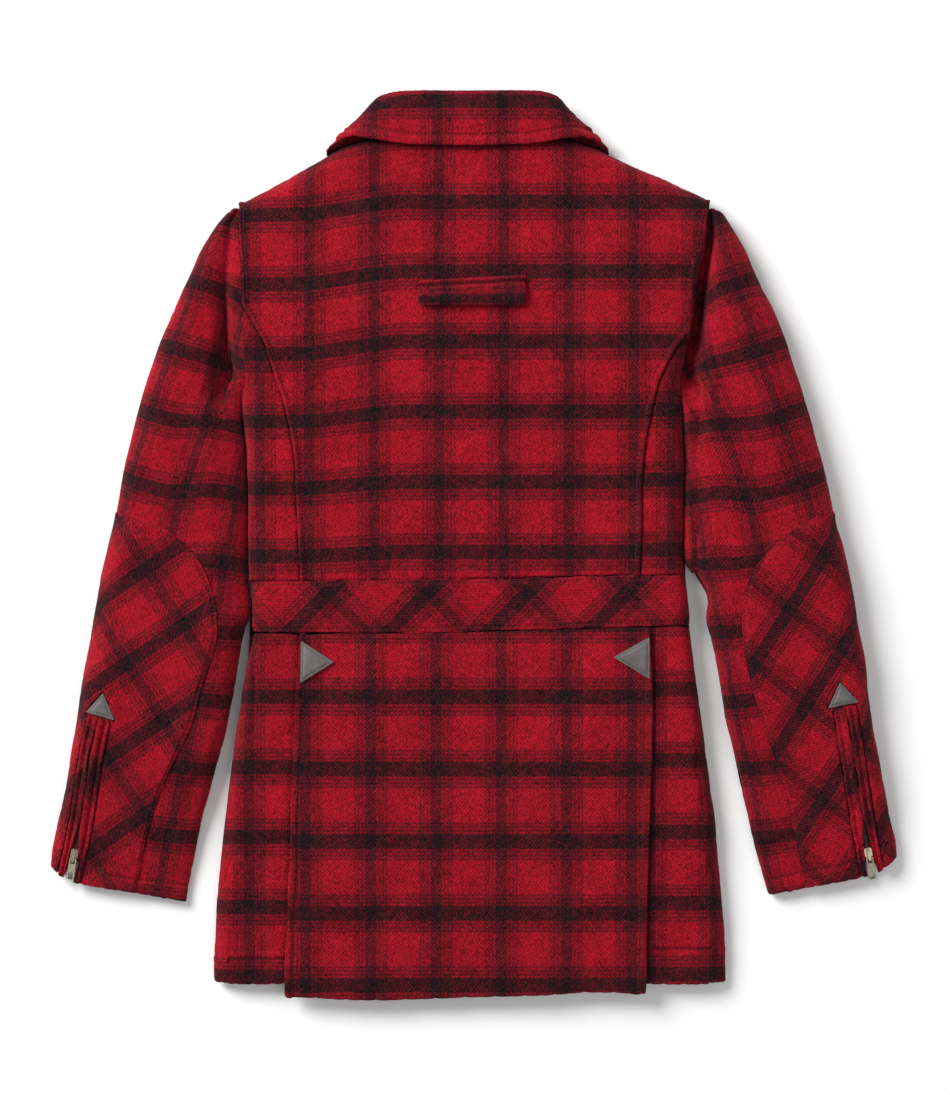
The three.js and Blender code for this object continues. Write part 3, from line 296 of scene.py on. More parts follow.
def refine(points, faces, size_at, least, coarse=None, rounds=16):
    """Splits long edges at their middles until each is as short as size_at asks.

    Where coarse, COARSE_SIZE is short enough.
    """
    if coarse is None:
        coarse = np.zeros(len(points), bool)
    for _ in range(rounds):
        edges, sides = edges_of(faces)
        lengths = np.linalg.norm(points[edges[:, 0]] - points[edges[:, 1]], axis=1)
        split = lengths > least
        allowed = size_at(points[edges[split]].mean(axis=1))
        allowed[coarse[edges[split]].all(axis=1)] = COARSE_SIZE
        split[split] = lengths[split] > allowed
        if not split.any():
            break
        longest = np.argmax(lengths[sides], axis=1)
        rows = np.arange(len(faces))
        while True:
            touched = split[sides].any(axis=1)
            wanted = sides[rows, longest]
            new = touched & ~split[wanted]
            if not new.any():
                break
            split[wanted[new]] = True
        middle = np.full(len(edges), -1)
        middle[split] = len(points) + np.arange(split.sum())
        points = np.vstack([points, points[edges[split]].mean(axis=1)])
        coarse = np.r_[coarse, coarse[edges[split]].all(axis=1)]
        turn = (longest[:, None] + np.arange(3)) % 3
        a, b, c = (faces[rows, turn[:, k]] for k in range(3))
        on_ab, on_bc, on_ca = (middle[sides[rows, turn[:, k]]] for k in range(3))
        cut = on_ab >= 0
        faces = np.vstack([
            faces[~cut],
            np.column_stack([on_ab, b, c])[cut & (on_bc < 0)],
            np.column_stack([on_ab, b, on_bc])[cut & (on_bc >= 0)],
            np.column_stack([on_ab, on_bc, c])[cut & (on_bc >= 0)],
            np.column_stack([a, on_ab, c])[cut & (on_ca < 0)],
            np.column_stack([a, on_ab, on_ca])[cut & (on_ca >= 0)],
            np.column_stack([on_ca, on_ab, c])[cut & (on_ca >= 0)],
        ])
    return points, faces


def face_normals(points, faces):
    """Each triangle's normal, as long as twice its area."""
    a, b, c = (points[faces[:, k]] for k in range(3))
    return np.cross(b - a, c - a)


def point_normals(points, faces):
    """Each point's normal, of length 1."""
    spread = face_normals(points, faces)
    total = np.column_stack([
        sum(np.bincount(faces[:, k], spread[:, axis], len(points)) for k in range(3)) for axis in range(3)
    ])
    return total / np.maximum(np.linalg.norm(total, axis=1), 1e-12)[:, None]


def neighbour_sum(values, a, b):
    """The sum of each point's neighbours' values. a and b are the two ends of every edge."""
    ends = np.r_[a, b]
    return np.column_stack([
        np.bincount(ends, np.r_[values[b, axis], values[a, axis]], len(values)) for axis in range(3)
    ])


def relax(points, faces, rounds, strength=0.5, pinned=None):
    """Moves each point part of the way to the middle of its neighbours."""
    edges, _ = edges_of(faces)
    a, b = edges[:, 0], edges[:, 1]
    count = np.bincount(np.r_[a, b], minlength=len(points))[:, None]
    for _ in range(rounds):
        move = (neighbour_sum(points, a, b) / count - points) * strength
        if pinned is not None:
            move[pinned] = 0
        points = points + move
    return points


def rim_points(points, faces, angle=50):
    """Points on sharp edges."""
    edges, sides = edges_of(faces)
    normals = face_normals(points, faces)
    normals /= np.maximum(np.linalg.norm(normals, axis=1), 1e-12)[:, None]
    order = np.argsort(sides.reshape(-1), kind="stable")
    owner = np.repeat(np.arange(len(faces)), 3)[order]
    number = sides.reshape(-1)[order]
    paired = np.flatnonzero(number[:-1] == number[1:])
    dots = (normals[owner[paired]] * normals[owner[paired + 1]]).sum(axis=1)
    sharp = number[paired[dots < math.cos(math.radians(angle))]]
    pinned = np.zeros(len(points), bool)
    pinned[edges[sharp].reshape(-1)] = True
    return pinned


# Shape of the cloth: what is added to the solids' form, in millimetres outwards

SEAM_DIPS = [
    BACK_SEAM["left"], BACK_SEAM["right"], ARMHOLE["left"], ARMHOLE["right"], WAIST_TOP, WAIST_BOTTOM,
]


def offset_line(line, by):
    """The line moved sideways, to its left going along it."""
    line = np.array(line, float)
    way = np.diff(line, axis=0)
    way /= np.linalg.norm(way, axis=1)[:, None]
    way = np.vstack([way[:1], way[:-1] + way[1:], way[-1:]])
    way /= np.linalg.norm(way, axis=1)[:, None]
    return line + by * np.column_stack([-way[:, 1], way[:, 0]])


SIDE_HEM_LINES = {f"skirt_side_{side}": np.array(line, float) for side, line in SIDE_HEM.items()}

# Rows of topstitching: the piece each lies on, and its line
STITCHES = [
    ("back_center", offset_line(BACK_SEAM["left"][1:], 5.2)),
    ("back_center", offset_line(BACK_SEAM["right"][1:], -5.2)),
    ("back_center", offset_line(ARMHOLE["left"], 4.6)),
    ("back_center", offset_line(ARMHOLE["right"], -4.6)),
    ("skirt_back_center", offset_line(PANEL_SIDE["left"], 5.4)),
    ("skirt_back_center", offset_line(PANEL_SIDE["right"], -5.4)),
    ("waistband_back", offset_line(WAIST_TOP, -3.2)),
    ("waistband_back", offset_line(WAIST_BOTTOM, 3.4)),
    ("collar", offset_line(COLLAR_EDGE, 9.5)),
    ("back_tab", offset_line(TAB_TOP, -5.6)),
    ("skirt_side_left", SIDE_HEM_LINES["skirt_side_left"]),
    ("skirt_side_right", SIDE_HEM_LINES["skirt_side_right"]),
    ("sleeve_upper_left", np.array(CUFF_HEM["left"])),
    ("sleeve_upper_right", np.array(CUFF_HEM["right"])),
    ("elbow_patch_left", np.array(CUFF_HEM["left"])),
    ("elbow_patch_right", np.array(CUFF_HEM["right"])),
    ("elbow_patch_left", offset_line(PATCH_EDGE["left"], -2.2)),
    ("elbow_patch_right", offset_line(PATCH_EDGE["right"], 2.2)),
]
for name, corners in TRIANGLES.items():
    middle = np.mean(corners, axis=0)
    inset = [middle + (np.array(corner) - middle) * 0.8 for corner in corners]
    STITCHES.append((name, np.array([*inset, inset[0]])))

# Slight unevenness: waves across, along, and their phases
WAVES = [
    (0.041, 0.013, 0.4),
    (-0.017, 0.052, 1.7),
    (0.083, -0.061, 2.9),
    (0.12, 0.09, 0.8),
    (-0.15, 0.11, 4.1),
]

# Heights of the relief, in millimetres
UNEVENNESS = 0.45
SEAM_DIP = 1.3
SEAM_PUCKER = 0.3
BACK_RIDGE = 2.3
WAISTBAND_RISE = 1.0
COLLAR_ROLL = 1.5
PANEL_ROLL = 1.5
SIDE_SINK = 1.2
PATCH_DIP = 1.3
PATCH_CORNER_SINK = 2.0
TAB_ROLL = 1.4
TAB_PUFF = 2.0
STITCH_DIP = 1.3
STITCH_PUCKER = 0.25
HEM_ROLL = 1.3


def undulation(p):
    """Slight unevenness all over, the same each time."""
    x, y = p[:, 0], p[:, 1]
    total = sum(
        np.sin(a * x + b * y + c + 1.3 * np.sin(0.021 * y + c)) / (1 + 8 * abs(a)) for a, b, c in WAVES
    )
    return UNEVENNESS * total


def add_fold(total, plan, start, end, width, height):
    """Adds one soft fold, a little bent, that fades out at both ends."""
    start, end = np.array(start), np.array(end)
    length = np.linalg.norm(end - start)
    middle = (start + end) / 2
    near = np.abs(plan - middle).max(axis=1) < length / 2 + 3 * width
    if not near.any():
        return
    bend = np.array([end[1] - start[1], start[0] - end[0]]) * 0.06
    distance, way = distance_to([start, middle + bend, end], plan[near], 3 * width)
    fade = np.sin(np.pi * np.clip(way / length, 0, 1)) ** 0.7
    total[near] += height * fade * bell(distance, width)


def relief(name, p):
    """What is added at each place of a piece, seen from above."""
    plan = p[:, :2]
    total = undulation(p)
    for fold in FOLDS:
        add_fold(total, plan, *fold)
    if "triangle" in name:
        corners = TRIANGLES[name]
        distance, _ = distance_to([*corners, corners[0]], plan)
        return total * 0.2 + 0.8 * smooth(distance / 5) - 0.6 * bell(distance - 2, 0.8)
    if "welt" in name:
        distance, way = distance_to(ZIP[side_of(name)], plan)
        ridge = 0.9 + 1.2 * bell(distance - 3.4, 2.0) - 2.6 * bell(distance - 6.7, 1)
        return total * 0.3 + ridge + 0.25 * np.sin(way / 5.5 + distance / 3)
    for line in SEAM_DIPS:
        distance, way = distance_to(line, plan)
        pucker = SEAM_PUCKER * np.sin(way / 3.1 + 1.5 * np.sin(way / 17)) * bell(distance - 4, 5)
        total += pucker - SEAM_DIP * bell(distance, 1.5)
    if name == "back_center":
        for line in (BACK_SEAM["left"], BACK_SEAM["right"], *ARMHOLE.values()):
            distance, _ = distance_to(line, plan)
            total += BACK_RIDGE * smooth((7.5 - distance) / 3.5) * smooth(distance / 1.5)
    if name == "waistband_back":
        total += WAISTBAND_RISE
    if name == "collar":
        distance, way = distance_to(COLLAR_EDGE, plan)
        total += (COLLAR_ROLL + 0.3 * np.sin(way / 9)) * smooth((7.5 - distance) / 3)
    if name.startswith("skirt"):
        for side in SIDES:
            distance, way = distance_to(PANEL_SIDE[side], plan)
            if name == "skirt_back_center":
                roll = PANEL_ROLL * smooth((8 - distance) / 4)
                total += roll + 0.4 * np.sin(way / 23) * bell(distance, 14)
            elif side in name:
                total -= SIDE_SINK * smooth((6 - distance) / 5)
    if "patch" in name:
        edge = PATCH_EDGE[side_of(name)]
        distance, _ = distance_to(edge, plan)
        total -= PATCH_DIP * bell(distance, 1.8)
        from_corner = np.hypot(plan[:, 0] - edge[0][0], plan[:, 1] - edge[0][1])
        total -= PATCH_CORNER_SINK * smooth((34 - from_corner) / 30)
    if name == "back_tab":
        distance, _ = distance_to(TAB_TOP, plan)
        total += TAB_ROLL * bell(distance - 2, 2.6) + TAB_PUFF * bell(distance - 17, 7)
    for owner, line in STITCHES:
        if owner != name:
            continue
        distance, way = distance_to(line, plan)
        total += -STITCH_DIP * bell(distance, 1.35) * (1 + 0.25 * np.sin(way * 1.55))
        total += STITCH_PUCKER * np.sin(way / 3.4 + 1.2 * np.sin(way / 13)) * bell(distance, 5)
        if line is SIDE_HEM_LINES.get(name):
            above, _ = distance_to(line + (0, 4), plan)
            total += HEM_ROLL * bell(above, 2.2)
    return total


def feature_lines(name):
    """The lines along which a piece needs fine triangles."""
    lines = [line for owner, line in STITCHES if owner == name]
    if name.startswith("back") or name.startswith("waist"):
        lines += SEAM_DIPS
    if "welt" in name:
        lines.append(ZIP[side_of(name)])
    return lines


# Cloth coordinates, in repeats of the plaid: the middles of the dark stripes are at whole numbers


def straight(x0, y0, warp=WARP_REPEAT, weft=WEFT_REPEAT, droop=None):
    def place(x, y):
        low = droop(x, y) if droop else 0
        return (x - x0) / warp, (y + low - y0) / weft
    return place


def back_droop(x, y):
    return smooth((-60 - x) / 110) * (4 + 8 * smooth((y + 20) / 220))


def bias(x0, y0, weft_step, warp_step):
    """A turned plaid, from its steps between crossings over the weft and over the warp stripes."""
    (ax, ay), (bx, by) = weft_step, warp_step
    det = ax * by - ay * bx

    def place(x, y):
        dx, dy = x - x0, y - y0
        return (ax * dy - ay * dx) / det, (by * dx - bx * dy) / det
    return place


def sleeve_cloth(side):
    """Stripes that follow the upper arm, and then the forearm below the elbow."""
    hand = -SIDES[side]
    x0, y0 = {"left": (-321.8, 62.3), "right": (304.1, 59.5)}[side]

    def place(x, y):
        dx, dy = x - x0, y - y0
        lower = smooth((10 - dy) / 110)
        inner = smooth((hand * dx - 20) / 60) * smooth((150 - dy) / 120)
        weft_angle = np.radians(18.2 - 11.2 * np.maximum(lower, inner))
        warp_angle = np.radians(18.2 - 6.2 * lower)
        across = dx * np.cos(warp_angle) - hand * dy * np.sin(warp_angle)
        up = hand * dx * np.sin(weft_angle) + dy * np.cos(weft_angle)
        return across / 53.0, up / 64.8
    return place


CLOTH = {
    "back_center": straight(-32.5, 125.6, droop=back_droop),
    "back_side_left": straight(-199, 125.6, droop=back_droop),
    "back_side_right": straight(184, 127.5),
    "skirt_back_center": straight(-35.3, -273.4, 60.6, 67.2),
    "skirt_side_left": straight(-209.3, -269.7, weft=65.3),
    "skirt_side_right": straight(224.1, -265, weft=66.5),
    "collar": straight(-34.2, 414.0, 60.4),
    "back_tab": straight(-27, 228.8, 60),
    "waistband_back": bias(-135.8, -42.8, (46.3, -46.3), (46.3, 46.3)),
    "front_left": straight(-90, 120),
    "front_right": straight(90, 120),
    "elbow_patch_left": bias(-303.2, -19.5, (33.5, -53), (-52.1, -35.3)),
    "elbow_patch_right": bias(260.4, -108.8, (48.4, -37.2), (32.6, 51.2)),
}
for side, sign in SIDES.items():
    CLOTH[f"sleeve_upper_{side}"] = sleeve_cloth(side)
    CLOTH[f"sleeve_under_{side}"] = sleeve_cloth(side)
    CLOTH[f"zip_welt_outer_{side}"] = bias(sign * 356, -215, (46, -46), (46, 46))
    CLOTH[f"zip_welt_inner_{side}"] = bias(sign * 340, -190, (46, -46), (46, 46))

COLLAR_TOP = 32.0


def cloth_uv(name, points, normals):
    """Where each point is on its cloth. A point on a side counts its drop from the flat top as cloth."""
    x, y, z = points.T
    if "sleeve" in name or "patch" in name or "welt" in name:
        high = table_at(SLEEVE_CROWN, y)
    elif name == "collar":
        high = np.full(len(x), COLLAR_TOP)
    else:
        high = table_at(BACK_LOFT, y)
    if "under" in name or "front" in name:
        high = np.zeros(len(x))
    slope = np.hypot(normals[:, 0], normals[:, 1])
    drop = np.abs(high - z) * 0.9 * smooth((slope - 0.15) / 0.35) / np.maximum(slope, 1e-6)
    return CLOTH[name](x + normals[:, 0] * drop, y + normals[:, 1] * drop)


# Building pieces


def new_object(name, points, faces, materials, uv=None):
    mesh = bpy.data.meshes.new(name)
    mesh.from_pydata((points * MM).tolist(), [], faces.tolist())
    for material in materials:
        mesh.materials.append(material)
    if uv is not None:
        layer = mesh.uv_layers.new(name="cloth")
        corners = np.column_stack(uv)[faces.reshape(-1)]
        layer.data.foreach_set("uv", corners.astype(np.float32).reshape(-1))
    mesh.polygons.foreach_set("use_smooth", [True] * len(mesh.polygons))
    mesh.update()
    item = bpy.data.objects.new(name, mesh)
    bpy.context.scene.collection.objects.link(item)
    return item


# The surface of each piece, to set stitches on
SURFACES = {}

HOLLOW_HEIGHT = 6.0
WELT_LEAN = 1.3
CUFF_LIFT = 2.6

# How far the edges move over the armhole seam: the sleeve's, more at the shoulder, and the back's
SLEEVE_TUCK = 1.5
SHOULDER_TUCK = 1.2
BACK_TUCK = -0.4

# How often the cloth is relaxed, first with its sharp edges held and then free
HELD_ROUNDS = 8
FREE_ROUNDS = 3

# How many rings of points beside a cut edge move with it, and the rounds that spread their direction
RIM_RINGS = 2
RIM_ROUNDS = 12


def outward(points, normals):
    """Which points are on the outer faces: those whose normals point away from the middle of the hollow."""
    x, y, z = points.T
    arm = np.abs(x) > np.where(y > 120, 214, 205)
    middle = np.where(arm & (y < 318), np.sign(x) * (250 + (130 - y) * 0.22), x * 0.85)
    away = np.column_stack([x - middle, np.zeros(len(x)), z - HOLLOW_HEIGHT])
    return (away * normals).sum(axis=1) > 0


def spread_over_rim(way, faces, rim):
    """Gives the cut edges the direction that the cloth beside them moves in."""
    edges, _ = edges_of(faces)
    a, b = edges[:, 0], edges[:, 1]
    wide = rim.copy()
    for _ in range(RIM_RINGS):
        reached = wide.copy()
        reached[a[wide[b]]] = True
        reached[b[wide[a]]] = True
        wide = reached
    way = way.copy()
    way[wide] = 0
    for _ in range(RIM_ROUNDS):
        total = neighbour_sum(way, a, b)
        length = np.linalg.norm(total, axis=1)
        moved = wide & (length > 1e-6)
        way[moved] = total[moved] / length[moved, None]
    return way


def close_armhole(name, points):
    """Brings the sleeve's and the back's edges together at the armhole seam."""
    for side, sign in SIDES.items():
        line = [np.array(ARMHOLE[side][0]) + (0, 14), *ARMHOLE[side], *BESIDE_SLEEVE[side]]
        distance, _ = distance_to(line, points[:, :2])
        by = (SLEEVE_TUCK if "sleeve" in name else BACK_TUCK) * smooth((10 - distance) / 7)
        if "sleeve" in name:
            by += SHOULDER_TUCK * smooth((points[:, 1] - 302) / 16) * smooth((12 - distance) / 9)
        points[:, 0] -= sign * by * (np.sign(points[:, 0]) == sign)
    return points


def lap_welt(name, points):
    """Leans a welt over the zip above the slider. The outer welt is the one nearer the body."""
    side = side_of(name)
    distance, _ = distance_to(ZIP[side], points[:, :2])
    towards = SIDES[side] if "outer" in name else -SIDES[side]
    above_slider = smooth((points[:, 1] + 282) / 36)
    points[:, 0] += towards * WELT_LEAN * above_slider * smooth((8 - distance) / 5)
    return points


def keep_surface(name, points, faces):
    SURFACES[name] = BVHTree.FromPolygons((points * MM).tolist(), faces.tolist())


def settle(item, node=None):
    """Rides a piece on the coat, in place of its CAD node where it has one."""
    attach(item, "coat")
    if node:
        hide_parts(node)


def cloth_piece(name, material, near):
    """One cloth piece from its CAD node. near is the triangles' size beside its seams and stitches."""
    points, faces = node_mesh(name)
    hidden = name.startswith("front") or "under" in name
    lines = feature_lines(name)
    fine = HIDDEN_SIZE if hidden else CLOTH_SIZE

    def size_at(p):
        size = np.full(len(p), fine)
        for line in lines:
            distance, _ = distance_to(line, p[:, :2])
            size = np.minimum(size, near + np.maximum(0, distance - 3.5) * 0.45)
        return size

    normals = point_normals(points, faces)
    coarse = normals[:, 2] < 0.2 if name == "collar" else ~outward(points, normals)
    points, faces = refine(points, faces, size_at, near, coarse)
    rim = rim_points(points, faces)
    points = relax(points, faces, HELD_ROUNDS, pinned=rim)
    points = relax(points, faces, FREE_ROUNDS)
    normals = point_normals(points, faces)
    if not hidden:
        outer = outward(points, normals) if name != "collar" else normals[:, 2] > 0
        way = normals * np.where(outer, 1, -1)[:, None]
        way = spread_over_rim(way, faces, rim)
        points = points + way * relief(name, points)[:, None]
        if "sleeve" in name or name.startswith("back_side") or name in ("back_center", "waistband_back"):
            points = close_armhole(name, points)
        if "welt" in name:
            points = lap_welt(name, points)
        if "patch" in name:
            points[:, 1] += CUFF_LIFT * smooth((-314 - points[:, 1]) / 14)
        normals = point_normals(points, faces)
    uv = cloth_uv(name, points, normals)
    item = new_object(f"cloth_{name}", points, faces, [material], uv)
    keep_surface(name, points, faces)
    settle(item, name)
    return item


def leather_triangle(name):
    points, faces = node_mesh(name)
    points, faces = refine(points, faces, lambda p: np.full(len(p), LEATHER_SIZE), LEATHER_SIZE)
    points = relax(points, faces, 2)
    normals = point_normals(points, faces)
    up = np.where(normals[:, 2] > 0, 1, -1)
    points = points + normals * (relief(name, points) * up)[:, None]
    item = new_object(f"hide_{name}", points, faces, [LEATHER])
    keep_surface(name, points, faces)
    settle(item, name)


# Materials


class Nodes:
    """Short ways to make shader nodes."""

    def __init__(self, name):
        self.material = bpy.data.materials.new(name)
        self.material.use_nodes = True
        self.tree = self.material.node_tree
        self.shader = self.tree.nodes["Principled BSDF"]

    def put(self, socket, value):
        """Links another node's output to the socket, or sets the socket's own value."""
        if isinstance(value, bpy.types.NodeSocket):
            self.tree.links.new(value, socket)
        else:
            socket.default_value = value

    def add(self, kind, **inputs):
        node = self.tree.nodes.new(kind)
        for key, value in inputs.items():
            self.put(node.inputs[key], value)
        return node

    def math(self, operation, a, b=0.0, clamp=False):
        node = self.tree.nodes.new("ShaderNodeMath")
        node.operation = operation
        node.use_clamp = clamp
        self.put(node.inputs[0], a)
        self.put(node.inputs[1], b)
        return node.outputs[0]

    def mix(self, factor, a, b, blend="MIX"):
        node = self.tree.nodes.new("ShaderNodeMix")
        node.data_type = "RGBA"
        node.blend_type = blend
        for key, value in (("Factor", factor), ("A", a), ("B", b)):
            self.put(node.inputs[key], value)
        return node.outputs["Result"]

    def ramp(self, factor, stops):
        node = self.tree.nodes.new("ShaderNodeValToRGB")
        node.color_ramp.interpolation = "LINEAR"
        elements = node.color_ramp.elements
        while len(elements) > 1:
            elements.remove(elements[-1])
        elements[0].position = stops[0][0]
        elements[0].color = (*[stops[0][1]] * 3, 1)
        for position, value in stops[1:]:
            elements.new(position).color = (*[value] * 3, 1)
        self.tree.links.new(factor, node.inputs[0])
        return node.outputs[0]

    def noise(self, vector, scale, detail=3.0, roughness=0.6):
        given = {"Vector": vector, "Scale": scale, "Detail": detail, "Roughness": roughness}
        return self.add("ShaderNodeTexNoise", **given).outputs[0]

    def to_shader(self, name, value):
        self.put(self.shader.inputs[name], value)

    def bump(self, height, strength, distance):
        node = self.add("ShaderNodeBump", Height=height, Strength=strength, Distance=distance)
        self.tree.links.new(node.outputs[0], self.shader.inputs["Normal"])


# A dark stripe's core and, at each side of it, a band of thin lines, in millimetres
WARP_STRIPE = {"repeat": WARP_REPEAT, "core": 9.3, "band": 10.6}
WEFT_STRIPE = {"repeat": WEFT_REPEAT, "core": 12.6, "band": 10.8}
LINES = 3
STRIPE_BLUR = 0.55

# How dark a stripe and its thin lines are, from the ground's 0 to 1
DARK = 1.0
THIN_LINE = 0.84
BETWEEN_LINES = 0.30


def stripe_stops(repeat, core, band):
    """Stops of one repeat, with the middle of the dark stripe at 0.5: core, thin lines, ground."""
    half = core / 2
    pitch = band / LINES
    edges = [(half, DARK)]
    for k in range(LINES):
        start = half + k * pitch
        edges.append((start + pitch * 0.34, BETWEEN_LINES))
        edges.append((start + pitch * 0.5, BETWEEN_LINES))
        edges.append((start + pitch * 0.8, THIN_LINE))
    edges.append((half + band + STRIPE_BLUR, 0.0))
    right = [(0.5 + distance / repeat, value) for distance, value in edges]
    left = [(0.5 - distance / repeat, value) for distance, value in reversed(edges)]
    return [(0.0, 0.0), *left, *right]


RED = (0.315, 0.0045, 0.015, 1)
BLACK = (0.0035, 0.0048, 0.0062, 1)


def wool(name):
    made = Nodes(name)
    made.material["record_slot"] = name
    uv = made.tree.nodes.new("ShaderNodeUVMap")
    uv.uv_map = "cloth"
    place = made.add("ShaderNodeTexCoord").outputs["Object"]
    # The stripes wander a little, as brushed yarns do
    wander = made.noise(place, 620.0, 3.0)
    shift = made.math("MULTIPLY", made.math("SUBTRACT", wander, 0.5), 0.045)
    split = made.tree.nodes.new("ShaderNodeSeparateXYZ")
    made.tree.links.new(uv.outputs[0], split.inputs[0])
    u = made.math("ADD", split.outputs[0], shift)
    v = made.math("ADD", split.outputs[1], shift)
    warp_at = made.math("FRACT", made.math("ADD", u, 0.5))
    weft_at = made.math("FRACT", made.math("ADD", v, 0.5))
    warp = made.ramp(warp_at, stripe_stops(**WARP_STRIPE))
    weft = made.ramp(weft_at, stripe_stops(**WEFT_STRIPE))
    # Twill: raised diagonals of warp between diagonals of weft
    across_warp = made.math("MULTIPLY", u, WARP_REPEAT)
    along = made.math("SUBTRACT", across_warp, made.math("MULTIPLY", v, WEFT_REPEAT))
    turned = made.math("MULTIPLY", along, 2 * math.pi / TWILL_PITCH)
    blurred = made.math("ADD", turned, made.math("MULTIPLY", made.noise(place, 420.0, 2.0), 5.0))
    wave = made.math("SINE", blurred)
    uneven = made.math("MULTIPLY", made.math("SUBTRACT", made.noise(place, 130.0, 3.0), 0.5), 0.42)
    weft_wave = made.math("ADD", made.math("MULTIPLY", wave, 0.09), 0.84)
    warp_wave = made.math("ADD", made.math("MULTIPLY", wave, -0.20), 0.66)
    weft_share = made.math("ADD", weft_wave, uneven, clamp=True)
    warp_share = made.math("ADD", warp_wave, uneven, clamp=True)
    light = made.math(
        "MULTIPLY",
        made.math("SUBTRACT", 1.0, made.math("MULTIPLY", weft, weft_share)),
        made.math("SUBTRACT", 1.0, made.math("MULTIPLY", warp, warp_share)),
    )
    # Brushed fibres: stretched along the weft, both light on dark and dark on light
    fibres = made.add("ShaderNodeMapping", Vector=place)
    fibres.inputs["Scale"].default_value = (520, 380, 460)
    fuzz = made.noise(fibres.outputs[0], 1.0, 5.0, 0.72)
    grain = made.math("SUBTRACT", fuzz, 0.5)
    cover = made.math("ADD", light, made.math("MULTIPLY", grain, 0.60), clamp=True)
    colour = made.mix(cover, BLACK, RED)
    # Uneven tone: the finer noise is the wool's own mottling; the broader one is painted shade and light,
    # broad patches darker and lighter as if the cloth undulated
    mottle_and_painted_shade = made.math("ADD", made.noise(place, 60.0, 3.0), made.noise(place, 15.0, 2.0))
    tint = made.math("ADD", made.math("MULTIPLY", made.math("SUBTRACT", mottle_and_painted_shade, 1.0), 0.55), 1.0)
    tint = made.math("ADD", tint, made.math("MULTIPLY", grain, 3.4))
    grey = made.add("ShaderNodeCombineColor", Red=tint, Green=tint, Blue=tint).outputs[0]
    made.to_shader("Base Color", made.mix(1.0, colour, grey, "MULTIPLY"))
    made.to_shader("Roughness", 0.95)
    made.to_shader("Specular IOR Level", 0.12)
    made.to_shader("Sheen Weight", 0.08)
    made.to_shader("Sheen Roughness", 0.45)
    made.to_shader("Sheen Tint", (1.0, 0.42, 0.42, 1))
    height = made.math("ADD", fuzz, made.math("MULTIPLY", wave, 0.10))
    made.bump(height, 0.8, 0.0020)
    return made.material


def leather():
    made = Nodes("leather")
    made.material["record_slot"] = "leather"
    place = made.add("ShaderNodeTexCoord").outputs["Object"]
    grain = made.add("ShaderNodeTexVoronoi", Vector=place, Scale=1100.0).outputs["Distance"]
    cloud = made.noise(place, 160.0, 5.0)
    shade = made.math("ADD", made.math("MULTIPLY", cloud, 0.7), made.math("MULTIPLY", grain, 0.25))
    colour = made.mix(shade, (0.035, 0.029, 0.027, 1), (0.20, 0.175, 0.165, 1))
    made.to_shader("Base Color", colour)
    made.to_shader("Roughness", made.math("ADD", made.math("MULTIPLY", cloud, 0.2), 0.5))
    made.bump(made.math("ADD", grain, cloud), 0.35, 0.0005)
    return made.material


def metal(name, light, dark, rough):
    made = Nodes(name)
    made.material["record_slot"] = "antique_metal"
    place = made.add("ShaderNodeTexCoord").outputs["Object"]
    tarnish = made.noise(place, 420.0, 5.0, 0.7)
    made.to_shader("Base Color", made.mix(tarnish, dark, light))
    made.to_shader("Metallic", 0.9)
    made.to_shader("Roughness", made.math("ADD", made.math("MULTIPLY", tarnish, 0.25), rough))
    made.bump(tarnish, 0.12, 0.0003)
    return made.material


def thread(name, slot, dark, light):
    made = Nodes(name)
    made.material["record_slot"] = slot
    place = made.add("ShaderNodeTexCoord").outputs["Object"]
    twist = made.noise(place, 2600.0, 2.0)
    made.to_shader("Base Color", made.mix(twist, dark, light))
    made.to_shader("Roughness", 0.8)
    made.bump(twist, 0.4, 0.0002)
    return made.material


def zip_tape():
    made = Nodes("zip_tape")
    made.material["record_slot"] = "antique_metal"
    place = made.add("ShaderNodeTexCoord").outputs["Object"]
    yarn = made.noise(place, 1800.0, 2.0)
    made.to_shader("Base Color", made.mix(yarn, (0.006, 0.005, 0.006, 1), (0.018, 0.010, 0.012, 1)))
    made.to_shader("Roughness", 0.9)
    return made.material


PLAID = wool("plaid_wool")
BIAS = wool("bias_wool")
LEATHER = leather()
METAL = metal("antique_metal", (0.80, 0.72, 0.54, 1), (0.20, 0.16, 0.10, 1), 0.22)
DARK_METAL = metal("dark_metal", (0.11, 0.09, 0.07, 1), (0.03, 0.025, 0.02, 1), 0.45)
THREAD = thread("thread", "plaid_wool", (0.045, 0.003, 0.006, 1), (0.15, 0.006, 0.014, 1))
GREY_THREAD = thread("grey_thread", "leather", (0.06, 0.05, 0.045, 1), (0.16, 0.14, 0.13, 1))
TAPE = zip_tape()

# The cloth pieces

for name in CLOTH:
    on_bias = "waistband" in name or "patch" in name or "welt" in name
    cloth_piece(name, BIAS if on_bias else PLAID, 1.3 if "welt" in name else 1.7)
for name in TRIANGLES:
    leather_triangle(name)

# Topstitching: a short thread for each stitch, its ends sunk in the cloth

STITCH = {"length": 2.7, "pitch": 3.6}
TRIANGLE_STITCH = {"length": 1.7, "pitch": 2.4}
THREAD_THICK = 0.34
THREAD_SIDES = 5

# Along a stitch: place, height above the cloth and thickness
STITCH_SHAPE = [
    (-0.5, -0.45, 0.5),
    (-0.32, 0.12, 1.0),
    (0, 0.24, 1.05),
    (0.32, 0.12, 1.0),
    (0.5, -0.45, 0.5),
]

# A stitch isn't made where the cloth steps by more than this along it, in millimetres
STITCH_STEP = 2.0


def surface_height(name, x, y):
    """How high the piece's upper surface is, or None beside it and where it is steep."""
    hit = SURFACES[name].ray_cast(Vector((x * MM, y * MM, 0.2)), Vector((0, 0, -1)))
    return None if hit[0] is None or hit[1].z < 0.2 else hit[0].z / MM


